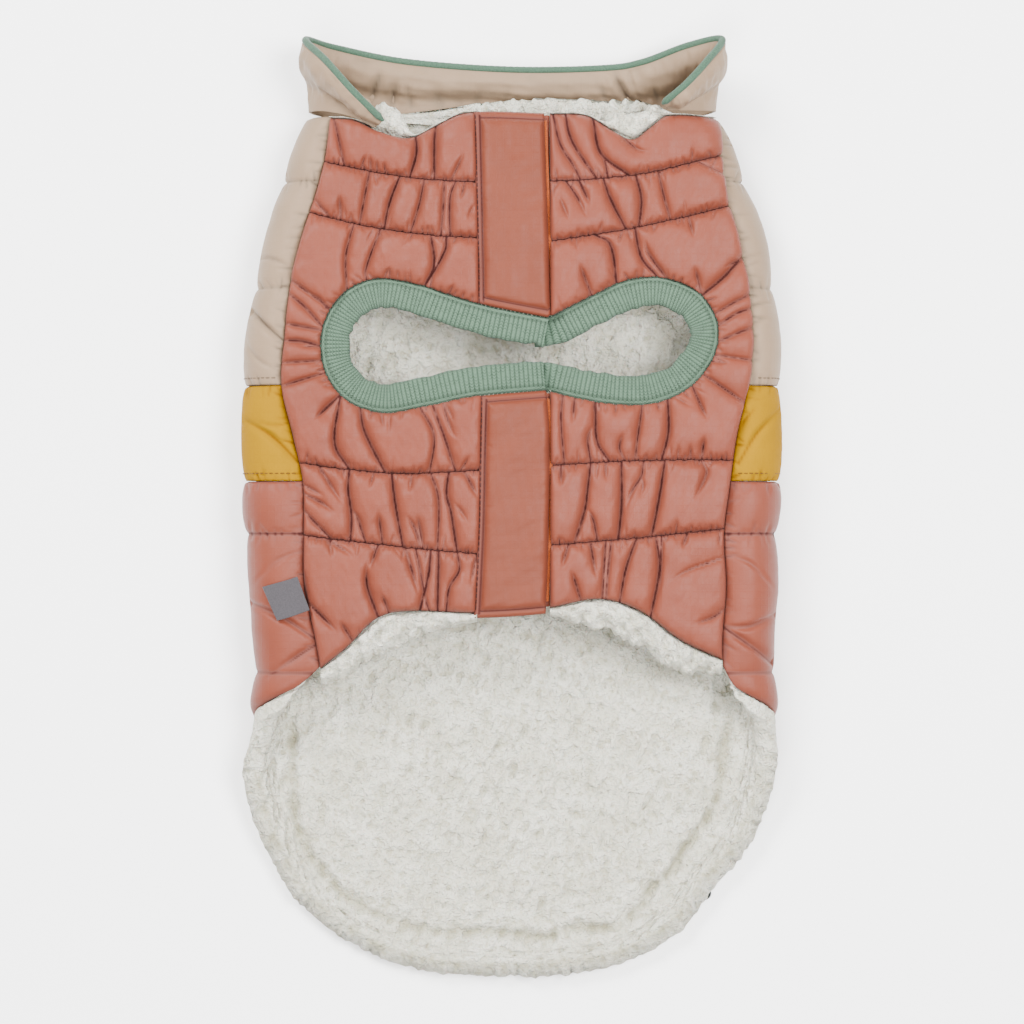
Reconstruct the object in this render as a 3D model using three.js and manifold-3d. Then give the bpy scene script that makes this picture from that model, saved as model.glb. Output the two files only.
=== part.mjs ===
// A quilted dog winter coat, laid on its back with the belly side up.
// Millimetres. +Z is up, +Y runs towards the neck, +X to the right, and the coat rests on z = 0.
import * as THREE from "three";
import { mergeVertices } from "three/addons/utils/BufferGeometryUtils.js";
import Module from "manifold-3d";

const wasm = await Module();
wasm.setup();

// Driving sizes
const SEAM_GAP = 0.3; // between two pieces that are sewn together
const SHELL = 2.5; // shell cloth with its flattened padding, at a stitch line
const LINING_IN = 3.1; // depth of the fleece's outer face below the shell's face
const FLEECE = 4.6; // thickness of the fleece lining
const BELLY_PUFF = 7; // how far a belly baffle stands above its stitch lines
const BACK_PUFF = 3; // the same at the sides of the back
const CROWN = 8; // rise of the belly between its two sides
const LEFT = -1;
const RIGHT = 1;

// Plan of the laid tube: reach of each side from the middle line, its height, and the side seams.
const BODY = [
  { y: 176, left: 90, right: 92, high: 29, seamLeft: 80.6, seamRight: 90.4 },
  { y: 160, left: 95.5, right: 98.5, high: 30, seamLeft: 82.5, seamRight: 93.6 },
  { y: 143, left: 101.5, right: 104.5, high: 31, seamLeft: 86.5, seamRight: 95.5 },
  { y: 124, left: 107, right: 111.5, high: 32, seamLeft: 92.5, seamRight: 100.5 },
  { y: 100, left: 112.5, right: 116, high: 33, seamLeft: 98.5, seamRight: 106 },
  { y: 76, left: 116.5, right: 118.7, high: 34, seamLeft: 101.2, seamRight: 108.2 },
  { y: 54, left: 118.2, right: 119.2, high: 34, seamLeft: 102.6, seamRight: 106.5 },
  { y: 32, left: 118.4, right: 119.2, high: 34, seamLeft: 97.6, seamRight: 101.5 },
  { y: 11, left: 118.2, right: 119.4, high: 34, seamLeft: 93, seamRight: 98.5 },
  { y: -12, left: 117.2, right: 118, high: 34, seamLeft: 92.6, seamRight: 95.6 },
  { y: -36, left: 115, right: 117.8, high: 33, seamLeft: 92.2, seamRight: 96.6 },
  { y: -60, left: 113.6, right: 116.4, high: 32, seamLeft: 87.4, seamRight: 95 },
  { y: -76, left: 113.6, right: 117.4, high: 31, seamLeft: 85, seamRight: 95.4 },
  { y: -97, left: 116, right: 119.4, high: 30, seamLeft: 85, seamRight: 95.4 },
];
// Colour blocks of the back, and the stitch lines across them, as distances along Y.
const NECK_SEAM = 175;
const YOKE_SEAM = 54;
const BAND_SEAM = 11;
const BACK_LINES = [NECK_SEAM, 143, 98, YOKE_SEAM, BAND_SEAM, -12.5, -75, -140];
// The tail is a rounded flap: its reach from a centre on the middle line, turn degrees below the X axis,
// and how far its edge still wraps up, in degrees round the side.
const TAIL_CENTRE = -97;
const TAIL = [
  { turn: 0, left: 117.5, right: 120.5, wrap: 118 },
  { turn: 10, left: 120.6, right: 119.6, wrap: 80 },
  { turn: 20, left: 122.7, right: 120.3, wrap: 58 },
  { turn: 30, left: 123.6, right: 120.4, wrap: 48 },
  { turn: 40, left: 125.2, right: 117.8, wrap: 44 },
  { turn: 50, left: 123.8, right: 121.2, wrap: 42 },
  { turn: 60, left: 122.2, right: 120.9, wrap: 40 },
  { turn: 70, left: 119.8, right: 118.8, wrap: 39 },
  { turn: 80, left: 116.8, right: 116.4, wrap: 38 },
  { turn: 90, left: 115.2, right: 115.2, wrap: 38 },
];
const TAIL_STEPS = 12; // sections of each half tail
const FLEECE_PAST = 4; // how far the fleece shows past the shell's edge
const FLEECE_SHORT = 2.6; // how far it stops short of the side seams
// How the hem edge leaves the top of the tube and runs down to the tail: the share of the way over the
// top that is left, and its wrap round the side in degrees.
const HEM_EDGE = [
  { y: -72, over: 1, wrap: 180 },
  { y: -84, over: 0, wrap: 180 },
  { y: -91, over: 0, wrap: 155 },
  { y: -97, over: 0, wrap: 118 },
];

// Edges of the belly panels: height along Y at each X.
const NECKLINE = [
  { x: -81, y: 174.2 },
  { x: -70, y: 173 },
  { x: -59, y: 168 },
  { x: -45, y: 165 },
  { x: -32, y: 171 },
  { x: -20, y: 176 },
  { x: 17, y: 175.6 },
  { x: 34, y: 174.8 },
  { x: 46, y: 168 },
  { x: 55, y: 164.4 },
  { x: 63, y: 170 },
  { x: 70, y: 175 },
  { x: 92, y: 174.4 },
];
const HEMLINE = [
  { x: -86, y: -73.5 },
  { x: -74, y: -64 },
  { x: -60, y: -50.5 },
  { x: -46, y: -47 },
  { x: -14, y: -47.6 },
  { x: 16, y: -45.6 },
  { x: 40, y: -41.6 },
  { x: 58, y: -47 },
  { x: 76, y: -60 },
  { x: 96, y: -69.5 },
];
// Stitch lines across the belly: Y at the side seam and at the middle, and the sag between.
const BELLY_LINES = {
  [LEFT]: [
    { seam: 154.5, middle: 144.5, sag: 2 },
    { seam: 131.5, middle: 119.5, sag: 2.5 },
    { seam: 73, middle: 68, sag: 0 },
    { seam: 19.5, middle: 16, sag: 3 },
    { seam: -13, middle: -21.5, sag: 0.5 },
  ],
  [RIGHT]: [
    { seam: 157.5, middle: 145, sag: 3 },
    { seam: 134.5, middle: 118, sag: 1.5 },
    { seam: 87.5, middle: 68, sag: 0 },
    { seam: 20.5, middle: 18, sag: -1 },
    { seam: -10, middle: -17.5, sag: 0.5 },
  ],
};
// The baffles between those lines: rows of the mesh in each, gathers across it, and how deep they are.
const BAFFLES = [
  { rows: 3, depth: 0.45, lean: 0.1 },
  { rows: 3, depth: 0.62, lean: 0.7 },
  { rows: 5, depth: 0.6, lean: 1.3 },
  { rows: 5, depth: 0.55, lean: 2.1 },
  { rows: 4, depth: 0.62, lean: 2.8 },
  { rows: 4, depth: 0.62, lean: 3.6 },
];
const LEG_LINE = 3; // the baffle below the line through the leg opening, which isn't stitched
const GATHERS = 9; // in each baffle on each side
const COLUMNS_PER_GATHER = 4;

// The leg opening: the line its ribbing is sewn along, round the left lobe and round the right one.
const SEW_LEFT = [
  { x: 17, y: 83.6 },
  { x: -9.7, y: 88.9 },
  { x: -26.8, y: 94 },
  { x: -42, y: 99 },
  { x: -60, y: 101.6 },
  { x: -75, y: 95 },
  { x: -84, y: 80 },
  { x: -83.6, y: 62 },
  { x: -74, y: 47.8 },
  { x: -57, y: 41.6 },
  { x: -36, y: 44.8 },
  { x: -16, y: 48.8 },
  { x: 15.5, y: 51.6 },
];
const SEW_RIGHT = [
  { x: 9.5, y: 51.4 },
  { x: 17, y: 51 },
  { x: 28, y: 48.4 },
  { x: 46, y: 45.4 },
  { x: 64, y: 45.8 },
  { x: 80, y: 53 },
  { x: 91, y: 67 },
  { x: 92.6, y: 82 },
  { x: 84, y: 95.6 },
  { x: 68, y: 102 },
  { x: 52, y: 100.8 },
  { x: 38, y: 94.6 },
  { x: 26, y: 88.6 },
  { x: 17, y: 84.4 },
  { x: 9.5, y: 83.6 },
];
const RIB = { seam: 0.6, wide: 13, pitch: 2, raised: 0.7, top: 1.1, bottom: 2 };
const RIB_TUCK = 7; // how far the right ribbing runs under the left one at the closure
const RIB_TUCK_DEPTH = 4.4;

// The closure: two flaps sewn to the left panel, lapping over the right one on hook tape.
const FLAP = { left: -14.6, right: 16.8, underlap: -7, high: 4.4, channel: 4.4, lift: 1.9 };
const TAPE = { inset: 7, peek: 0.5, thick: 1.2, lift: 0.35 };

// The collar: where the band is sewn on and where its free edge runs, from the left end to the right.
const COLLAR = [
  { sx: -61, sy: 169.6, sz: 32.5, ex: -57.5, ey: 171.4, ez: 38 },
  { sx: -71, sy: 174.6, sz: 31.5, ex: -70.5, ey: 184, ez: 43 },
  { sx: -83, sy: 177.4, sz: 27, ex: -82.5, ey: 197.5, ez: 41 },
  { sx: -90.5, sy: 178, sz: 15, ex: -92, ey: 208, ez: 28 },
  { sx: -79, sy: 176.5, sz: 2.6, ex: -80, ey: 206.5, ez: 13 },
  { sx: -48, sy: 175.6, sz: 2, ex: -47.5, ey: 200.5, ez: 8.5 },
  { sx: 0, sy: 175.6, sz: 2, ex: 0, ey: 197, ez: 8 },
  { sx: 42, sy: 175.6, sz: 2, ex: 42, ey: 197.6, ez: 8.5 },
  { sx: 66, sy: 176, sz: 2.2, ex: 60, ey: 200, ez: 12 },
  { sx: 83, sy: 177, sz: 4, ex: 80, ey: 206.5, ez: 20 },
  { sx: 92, sy: 178.4, sz: 15, ex: 94.6, ey: 208, ez: 31 },
  { sx: 87.5, sy: 177.6, sz: 27, ex: 87.5, ey: 197, ez: 42 },
  { sx: 79, sy: 177.4, sz: 31.5, ex: 78, ey: 186.5, ez: 44 },
  { sx: 71.5, sy: 177.4, sz: 32.5, ex: 68.5, ey: 179, ez: 38 },
];
const COLLAR_BAND = { sewn: 1.6, full: 7.4, edge: 3.4, flatShare: 0.36 };
const PIPING = { radius: 1.6, seat: 2.3, steps: 56, sides: 8 };

// Where the fleece rises past the back's neck seam, and where it shows past the belly's edges.
const NECK_RISE = [
  { x: -90, rise: 0.5 },
  { x: -60, rise: 5 },
  { x: -45, rise: 0.5 },
  { x: -24, rise: 1 },
  { x: -12, rise: 6.5 },
  { x: 55, rise: 6.5 },
  { x: 70, rise: 3 },
  { x: 90, rise: 0.5 },
];
const NECK_LIFT = 0.8; // clears the collar's foot
const NECK_TUFTS = [
  { x: -52, reach: 7, wide: 8 },
  { x: 56, reach: 9.5, wide: 10 },
];
// How far the belly's fleece shows past its hem, at each X.
const HEM_ROLL = [
  { x: -90, past: 5 },
  { x: -80, past: 9 },
  { x: -66, past: 13 },
  { x: -50, past: 12 },
  { x: -36, past: 8 },
  { x: -14, past: 4 },
  { x: 17, past: 4 },
  { x: 34, past: 11 },
  { x: 56, past: 13 },
  { x: 74, past: 13 },
  { x: 86, past: 9 },
  { x: 98, past: 5 },
];
const LABEL = { across: 17, down: 16, thick: 0.9, lift: 0.4, x: -101, y: -41.4, turn: 20 };
const STOPPER = { radius: 3, thick: 2, turn: 42, past: 3.2 };

const clamp = THREE.MathUtils.clamp;
const lerp = THREE.MathUtils.lerp;
const radians = THREE.MathUtils.degToRad;

// An eased step from 0 at one value to 1 at another, which may be the lower one.
function smooth(value, from, to) {
  const share = clamp((value - from) / (to - from), 0, 1);
  return share * share * (3 - 2 * share);
}

// A smooth line through a table: one column as a function of another.
function track(rows, key, column) {
  const sorted = [...rows].sort((a, b) => a[key] - b[key]);
  const at = sorted.map((row) => row[key]);
  const value = sorted.map((row) => row[column]);
  const last = at.length - 1;
  const slope = at.map((_, i) => {
    const before = Math.max(i - 1, 0);
    const after = Math.min(i + 1, last);
    return (value[after] - value[before]) / (at[after] - at[before]);
  });
  return (wanted) => {
    const t = clamp(wanted, at[0], at[last]);
    const i = clamp(at.findIndex((edge) => edge >= t) - 1, 0, last - 1);
    const step = at[i + 1] - at[i];
    const f = (t - at[i]) / step;
    const bend = (1 - f) * (1 - f) * f * step * slope[i] - f * f * (1 - f) * step * slope[i + 1];
    return (1 + 2 * f) * (1 - f) * (1 - f) * value[i] + f * f * (3 - 2 * f) * value[i + 1] + bend;
  };
}

const reachLeft = track(BODY, "y", "left");
const reachRight = track(BODY, "y", "right");
const highAt = track(BODY, "y", "high");
const seamLeft = track(BODY, "y", "seamLeft");
const seamRight = track(BODY, "y", "seamRight");
const necklineAt = track(NECKLINE, "x", "y");
const hemlineAt = track(HEMLINE, "x", "y");
const neckRiseAt = track(NECK_RISE, "x", "rise");
const hemRollAt = track(HEM_ROLL, "x", "past");
const wrapDown = track(HEM_EDGE, "y", "wrap");
const overDown = track(HEM_EDGE, "y", "over");
const tailLeft = track(TAIL, "turn", "left");
const tailRight = track(TAIL, "turn", "right");
const tailWrap = track(TAIL, "turn", "wrap");

const reachAt = (side, y) => (side < 0 ? reachLeft(y) : reachRight(y));
const seamAt = (side, y) => (side < 0 ? seamLeft(y) : seamRight(y));
const tailReach = (side, turn) => (side < 0 ? tailLeft(turn) : tailRight(turn));

// A number from 0 to 1 that changes unevenly from one whole number to the next.
function uneven(index) {
  const wave = Math.sin(index * 12.9898 + 4.1) * 43758.5453;
  return wave - Math.floor(wave);
}

// Rise of the belly above the tube's height.
function crownAt(x, flatReach, y) {
  const share = clamp(Math.abs(x) / flatReach, 0, 1);
  const along = smooth(y, 200, 120) * 0.6 + 0.4;
  return CROWN * along * (1 - share * share) ** 2;
}

// Distance over the top and round the side, along the shell's face, at which a point lies out from the
// middle line.
function wayOut(out, y, side) {
  const half = highAt(y) / 2;
  const flatReach = reachAt(side, y) - half;
  if (out <= flatReach) return out;
  return flatReach + half * Math.asin(Math.min((out - flatReach) / half, 1));
}

// A point of the laid tube's upper half, at a depth below the shell's face over (x, y).
function facePoint(x, y, depth) {
  const side = x < 0 ? LEFT : RIGHT;
  const half = highAt(y) / 2;
  const flatReach = reachAt(side, y) - half;
  const turn = (wayOut(Math.abs(x), y, side) - flatReach) / half;
  if (turn <= 0) return new THREE.Vector3(x, y, 2 * half - depth + crownAt(x, flatReach, y));
  const out = flatReach + (half - depth) * Math.sin(turn);
  return new THREE.Vector3(side * out, y, half + (half - depth) * Math.cos(turn));
}

// Solids

// One mesh from triangles given as three points each, with shared corners merged.
function meshOf(triangles) {
  const points = new Float32Array(triangles.flat().flatMap((p) => [p.x, p.y, p.z]));
  const loose = new THREE.BufferGeometry();
  loose.setAttribute("position", new THREE.BufferAttribute(points, 3));
  const merged = mergeVertices(loose, 1e-3);
  const corners = [];
  const index = merged.index.array;
  for (let i = 0; i < index.length; i += 3) {
    const [a, b, c] = [index[i], index[i + 1], index[i + 2]];
    if (a !== b && b !== c && a !== c) corners.push(a, b, c);
  }
  merged.setIndex(corners);
  return merged;
}

// Triangles between two lines of points that run the same way, each point with its share of the way.
function zip(lineA, lineB) {
  const made = [];
  let a = 0;
  let b = 0;
  while (a < lineA.length - 1 || b < lineB.length - 1) {
    const nextA = a < lineA.length - 1 ? (a + 1) / (lineA.length - 1) : 2;
    const nextB = b < lineB.length - 1 ? (b + 1) / (lineB.length - 1) : 2;
    if (nextA <= nextB) {
      made.push([lineA[a], lineA[a + 1], lineB[b]]);
      a += 1;
    } else {
      made.push([lineA[a], lineB[b + 1], lineB[b]]);
      b += 1;
    }
  }
  return made;
}

// A closed wall between two faces, each a function of u and v from 0 to 1 with its own mesh.
// Seen from outside, u runs to the right and v runs down. With endsMeet, the row at v = 1 closes on itself.
function wall({ outer, inner, across, down, acrossInner = across, downInner = down, endsMeet = false }) {
  const grid = (face, columns, rows) =>
    Array.from({ length: rows + 1 }, (_, row) =>
      Array.from({ length: columns + 1 }, (_, column) => face(column / columns, row / rows)),
    );
  const outside = grid(outer, across, down);
  const inside = grid(inner, acrossInner, downInner);
  const triangles = [];
  const cover = (rows, flip) => {
    for (let r = 0; r < rows.length - 1; r += 1) {
      for (let c = 0; c < rows[r].length - 1; c += 1) {
        const [a, b, d, e] = [rows[r][c], rows[r][c + 1], rows[r + 1][c], rows[r + 1][c + 1]];
        const pair = [
          [a, d, b],
          [b, d, e],
        ];
        for (const [p, q, s] of pair) triangles.push(flip ? [p, s, q] : [p, q, s]);
      }
    }
  };
  cover(outside, false);
  cover(inside, true);
  const column = (rows, c) => rows.map((row) => row.at(c));
  triangles.push(...zip(outside[0], inside[0]));
  triangles.push(...zip(column(inside, 0), column(outside, 0)));
  triangles.push(...zip(column(outside, -1), column(inside, -1)));
  if (!endsMeet) triangles.push(...zip(inside.at(-1), outside.at(-1)));
  return meshOf(triangles);
}

function solidOf(geometry) {
  return new wasm.Manifold(
    new wasm.Mesh({
      numProp: 3,
      vertProperties: geometry.attributes.position.array,
      triVerts: new Uint32Array(geometry.index.array),
    }),
  );
}

function geometryOf(solid) {
  const { vertProperties, triVerts } = solid.getMesh();
  const geometry = new THREE.BufferGeometry();
  geometry.setAttribute("position", new THREE.BufferAttribute(vertProperties, 3));
  geometry.setIndex(new THREE.BufferAttribute(triVerts, 1));
  return geometry;
}

// The back: sections across the tube, then sections that fan round the tail

// One half section, from its foot on the middle line outwards. way holds its Y, or past the tail's centre
// its turn round it. The flat part of its underside ends at flatReach, and edge is how far the section runs
// on from there: round the side, and over the top.
function section(side, way) {
  const tube = way.turn === undefined;
  const y = tube ? way.y : TAIL_CENTRE;
  const half = highAt(y) / 2;
  const tubeReach = reachAt(side, y) - half;
  if (tube) {
    const over = tubeReach - wayOut(seamAt(side, y), y, side) - SEAM_GAP;
    const hem = y < HEM_EDGE[0].y;
    const edge = half * radians(hem ? wrapDown(y) : 180) + over * (hem ? overDown(y) : 1);
    return { foot: y, outX: side, outY: 0, half, flatReach: tubeReach, edge, y };
  }
  const turn = radians(way.turn);
  const wrap = radians(tailWrap(way.turn));
  const fleece = half - LINING_IN;
  const shown = fleece * Math.sin(Math.min(wrap, Math.PI / 2)) + FLEECE_PAST * Math.max(Math.cos(wrap), 0);
  const tailFlat = tailReach(side, way.turn) - shown;
  const flatReach = lerp(tubeReach, tailFlat, smooth(way.turn, 0, 12));
  const outX = side * Math.cos(turn);
  return { foot: y, outX, outY: -Math.sin(turn), half, flatReach, edge: half * wrap };
}

// How much a part of the section rounds out between stitch lines. The underside stays flat.
function backPuff(y, angle) {
  const next = BACK_LINES.findIndex((line) => line < y);
  if (next < 1) return 0;
  const share = (y - BACK_LINES[next]) / (BACK_LINES[next - 1] - BACK_LINES[next]);
  return BACK_PUFF * Math.sin(Math.PI * clamp(share, 0, 1)) ** 0.6 * smooth(angle, 0.6, 1.4);
}

// A point of a half section, so far past the flat part of its underside, at a depth below its face.
function sectionPoint(cut, along, depth, puffed = false) {
  let out = cut.flatReach + Math.min(along, 0);
  let z = depth;
  if (along > 0) {
    const turn = Math.min(along / cut.half, Math.PI);
    const flat = edgeFade((cut.edge - along) / cut.half);
    const radius = cut.half - depth + (puffed && cut.y !== undefined ? backPuff(cut.y, turn) * flat : 0);
    out = cut.flatReach + radius * Math.sin(turn);
    z = cut.half - radius * Math.cos(turn);
    const over = along - Math.PI * cut.half;
    if (over > 0) {
      out -= over;
      z += crownAt(out, cut.flatReach, cut.foot);
    }
  }
  return new THREE.Vector3(cut.outX * out, cut.foot + cut.outY * out, z);
}

// Padding flattens towards a sewn edge.
const edgeFade = (away) => smooth(away, 0, 0.5) * 0.85 + 0.15;

// A face across both halves of a row of sections, from the right edge under the coat to the left edge.
// The middle column is the foot, the next is the end of the flat underside, and the rest share the edge.
const ROUND_STEPS = 9;
function backFace(ways, depth, puffed, past = () => 0) {
  return (u, v) => {
    const row = Math.round(v * (ways.length - 1));
    const column = Math.round((u - 0.5) * 2 * (ROUND_STEPS + 1));
    const cut = section(column < 0 ? RIGHT : LEFT, ways[row]);
    const steps = Math.abs(column) - 1;
    const last = steps === ROUND_STEPS ? past(ways[row]) : 0;
    const along = steps < 0 ? -cut.flatReach : (steps / ROUND_STEPS) * cut.edge + last;
    return sectionPoint(cut, along, depth, puffed);
  };
}

// Sections at even steps between two lines across the back.
const tubeWays = (top, bottom, rows) =>
  Array.from({ length: rows + 1 }, (_, row) => ({ y: lerp(top, bottom, row / rows) }));
const tailWays = Array.from({ length: TAIL_STEPS }, (_, step) => ({
  turn: (90 * (step + 1)) / TAIL_STEPS,
}));
const yokeWays = tubeWays(NECK_SEAM, YOKE_SEAM + SEAM_GAP, 11);
const bandWays = tubeWays(YOKE_SEAM, BAND_SEAM + SEAM_GAP, 5);
const bodyWays = [
  ...tubeWays(BAND_SEAM, HEM_EDGE[0].y, 7),
  ...tubeWays(HEM_EDGE[0].y - 5, TAIL_CENTRE, 4),
  ...tailWays,
];

// A piece of the back's shell between two lines across it.
function backPiece(ways, endsMeet) {
  return wall({
    outer: backFace(ways, 0, true),
    inner: backFace(ways, SHELL, false),
    across: 2 * ROUND_STEPS + 2,
    down: ways.length - 1,
    endsMeet,
  });
}

// The fleece lies on the whole back, shows past its edge, and rises over the collar's foot at the neck.
function backLining() {
  const ways = [...tubeWays(NECK_SEAM - 1.5, BAND_SEAM + 18, 6), ...bodyWays];
  const past = (way) =>
    way.turn === undefined ? lerp(-FLEECE_SHORT, FLEECE_PAST, smooth(way.y, -70, -90)) : FLEECE_PAST;
  const face = (depth) => {
    const plain = backFace(ways, depth, false, past);
    return (u, v) => {
      const point = plain(u, v);
      const underside = point.z < depth + 1;
      if (v === 0 && underside) point.add(new THREE.Vector3(0, neckRiseAt(point.x), NECK_LIFT));
      return point;
    };
  };
  return wall({
    outer: face(LINING_IN),
    inner: face(LINING_IN + FLEECE),
    across: 2 * ROUND_STEPS + 2,
    down: ways.length - 1,
    endsMeet: true,
  });
}

// The belly panels

// A closed outline round the leg opening, and the solid that cuts it out of a panel.
const sewCurve = (rows) => new THREE.CatmullRomCurve3(rows.map(({ x, y }) => new THREE.Vector3(x, y, 0)));
const shownRight = sewCurve(SEW_RIGHT)
  .getSpacedPoints(50)
  .filter((p) => p.x > SEW_LEFT[0].x - 1);
const SEW_OUTLINE = [...sewCurve(SEW_LEFT).getSpacedPoints(44), ...shownRight];

function sewDistance(x, y) {
  return Math.min(...SEW_OUTLINE.map((p) => Math.hypot(p.x - x, p.y - y)));
}

function legCutter() {
  const shape = new THREE.Shape(SEW_OUTLINE.map((p) => new THREE.Vector2(p.x, p.y)));
  const block = new THREE.ExtrudeGeometry(shape, { depth: 80, bevelEnabled: false, steps: 1 });
  block.deleteAttribute("normal");
  block.deleteAttribute("uv");
  block.computeBoundingBox();
  return solidOf(mergeVertices(block, 1e-3));
}

// A line across the belly, from the neckline to the hem, as a function of X.
function bellyLines(side) {
  const middle = side < 0 ? FLAP.left : FLAP.right;
  const between = BELLY_LINES[side].map(({ seam, middle: inner, sag }) => {
    const seamX = side * seamAt(side, seam);
    return (x) => {
      const share = clamp((x - middle) / (seamX - middle), 0, 1);
      return lerp(inner, seam, share) - sag * Math.sin(Math.PI * share);
    };
  });
  return [necklineAt, ...between, hemlineAt];
}

// The baffle, and the share of its height, at a share of the panel's rows.
const BELLY_ROWS = BAFFLES.reduce((sum, baffle) => sum + baffle.rows, 0);
function baffleAt(v) {
  let row = v * BELLY_ROWS;
  let index = 0;
  while (index < BAFFLES.length - 1 && row > BAFFLES[index].rows + 1e-6) {
    row -= BAFFLES[index].rows;
    index += 1;
  }
  return { index, share: row / BAFFLES[index].rows };
}

// Where a gather column lies between the middle and the side seam. Its folds are unevenly wide, and
// shift from one baffle to the next.
function gatherPlace(column, index, side) {
  const count = GATHERS * COLUMNS_PER_GATHER;
  const fold = column / COLUMNS_PER_GATHER;
  const sway = 0.32 * Math.sin((Math.PI * column) / count);
  const shift = sway * Math.sin(fold * 2.4 + BAFFLES[index].lean * side);
  return clamp((fold + shift) / GATHERS, 0, 1);
}

// How full a baffle is at a share of its height. The two that meet at the leg's line swell as one.
function fullness(index, share) {
  let height = clamp(share, 0, 1);
  if (index === LEG_LINE - 1) height = share / 2;
  if (index === LEG_LINE) height = (1 + share) / 2;
  return Math.sin(Math.PI * height) ** 0.6;
}

// How far a gathered baffle stands out at a column of folds.
function gatherPuff(column, v, side) {
  const { index, share } = baffleAt(v);
  const place = Math.round(column);
  const fold = Math.round(place / COLUMNS_PER_GATHER);
  const inFold = Math.abs(place - fold * COLUMNS_PER_GATHER) / (COLUMNS_PER_GATHER / 2);
  const seed = fold + 17 * index + (side < 0 ? 0 : 61);
  const fromTop = uneven(seed) < 0.5;
  const fade = uneven(seed + 7) < 0.4 ? 1 : 1 - 0.8 * smooth(fromTop ? share : 1 - share, 0.35, 0.85);
  const depth = BAFFLES[index].depth * (0.55 + 0.45 * uneven(seed + 3)) * fade;
  const trough = 1 - depth * (1 - inFold) ** 0.8;
  return BELLY_PUFF * fullness(index, share) * trough;
}

function bellyPlan(side, place, v, past = 0) {
  const lines = bellyLines(side);
  const { index, share } = baffleAt(v);
  const yAt = (x) => lerp(lines[index](x), lines[index + 1](x), share) + past;
  const middle = side < 0 ? FLAP.left - SEAM_GAP : FLAP.right + TAPE.peek + SEAM_GAP;
  let edge = side * seamAt(side, yAt(side * seamAt(side, 0)));
  for (let turn = 0; turn < 3; turn += 1) edge = side * (seamAt(side, yAt(edge)) - SEAM_GAP);
  const x = lerp(middle, edge, place);
  return { x, y: yAt(x) };
}

function bellyPanel(side, cutter) {
  const columns = GATHERS * COLUMNS_PER_GATHER;
  const outer = (u, v) => {
    const column = u * columns;
    const { index } = baffleAt(v);
    const { x, y } = bellyPlan(side, gatherPlace(column, index, side), v);
    const fade = smooth(sewDistance(x, y), 0, 8) * edgeFade(Math.min(u, 1 - u) * 6);
    return facePoint(x, y, -gatherPuff(column, v, side) * fade);
  };
  const inner = (u, v) => {
    const { x, y } = bellyPlan(side, u, v);
    return facePoint(x, y, SHELL);
  };
  const mirrored = (face) => (side < 0 ? (u, v) => face(1 - u, v) : face);
  const panel = wall({
    outer: mirrored(outer),
    inner: mirrored(inner),
    across: columns,
    down: BELLY_ROWS,
    acrossInner: 9,
    downInner: 12,
  });
  return solidOf(panel).subtract(cutter);
}

// The fleece under a belly panel. Its rows run from the tufts that show at the neck, under the panel, to
// the soft roll that shows past the hem. past is how far beyond the panel's edge a row lies.
const tuftAt = (x) =>
  NECK_TUFTS.reduce((sum, tuft) => sum + tuft.reach * Math.exp(-(((x - tuft.x) / tuft.wide) ** 2)), 0.6);
const LINING_ROWS = [
  { v: 0, tuft: 1, roll: 0, lift: 0 },
  { v: 0, tuft: 0, roll: 0, lift: 0 },
  { v: 0.18, tuft: 0, roll: 0, lift: 0 },
  { v: 0.34, tuft: 0, roll: 0, lift: 0 },
  { v: 0.5, tuft: 0, roll: 0, lift: 0 },
  { v: 0.67, tuft: 0, roll: 0, lift: 0 },
  { v: 0.84, tuft: 0, roll: 0, lift: 0 },
  { v: 1, tuft: 0, roll: 0, lift: 0 },
  { v: 1, tuft: 0, roll: 0.2, lift: 1 },
  { v: 1, tuft: 0, roll: 0.85, lift: 2 },
  { v: 1, tuft: 0, roll: 1, lift: -1.5 },
];
function bellyLining(side, cutter) {
  const face = (depth) => (u, v) => {
    const place = side < 0 ? 1 - u : u;
    const row = LINING_ROWS[Math.round(v * (LINING_ROWS.length - 1))];
    const { x } = bellyPlan(side, place, row.v);
    const past = row.tuft * tuftAt(x) - row.roll * hemRollAt(x);
    const point = bellyPlan(side, place, row.v, past);
    const lift = depth > LINING_IN ? 0 : row.lift;
    return facePoint(point.x, point.y, depth - lift);
  };
  const panel = wall({
    outer: face(LINING_IN),
    inner: face(LINING_IN + FLEECE),
    across: 7,
    down: LINING_ROWS.length - 1,
  });
  return solidOf(panel).subtract(cutter);
}

// Where the right panel lies flat under the flaps, to be caught by the tape.
function underlap(top, bottom, cutter) {
  const face = (depth) => (u, v) => {
    const x = lerp(FLAP.underlap, FLAP.right - SEAM_GAP, u);
    const y = lerp(top(x) - 1.5, bottom(x) + 1.5, v);
    return facePoint(x, y, depth);
  };
  return solidOf(wall({ outer: face(0.6), inner: face(SHELL), across: 1, down: 4 })).subtract(cutter);
}

// The closure's flaps

// Height of a flap's face over its underside: an edge, a stitched channel, a second stitch line, padding.
function flapProfile(x, fromEnd) {
  const inFromLeft = x - FLAP.left;
  const channel = 1.5 + 0.5 * Math.sin(Math.PI * clamp(inFromLeft / FLAP.channel, 0, 1));
  const pad = smooth(inFromLeft, FLAP.channel, FLAP.channel + 4) * smooth(FLAP.right - x, -1.2, 2.5);
  return channel + (FLAP.high - 1.5) * pad * smooth(fromEnd, 1.6, 6);
}

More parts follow.
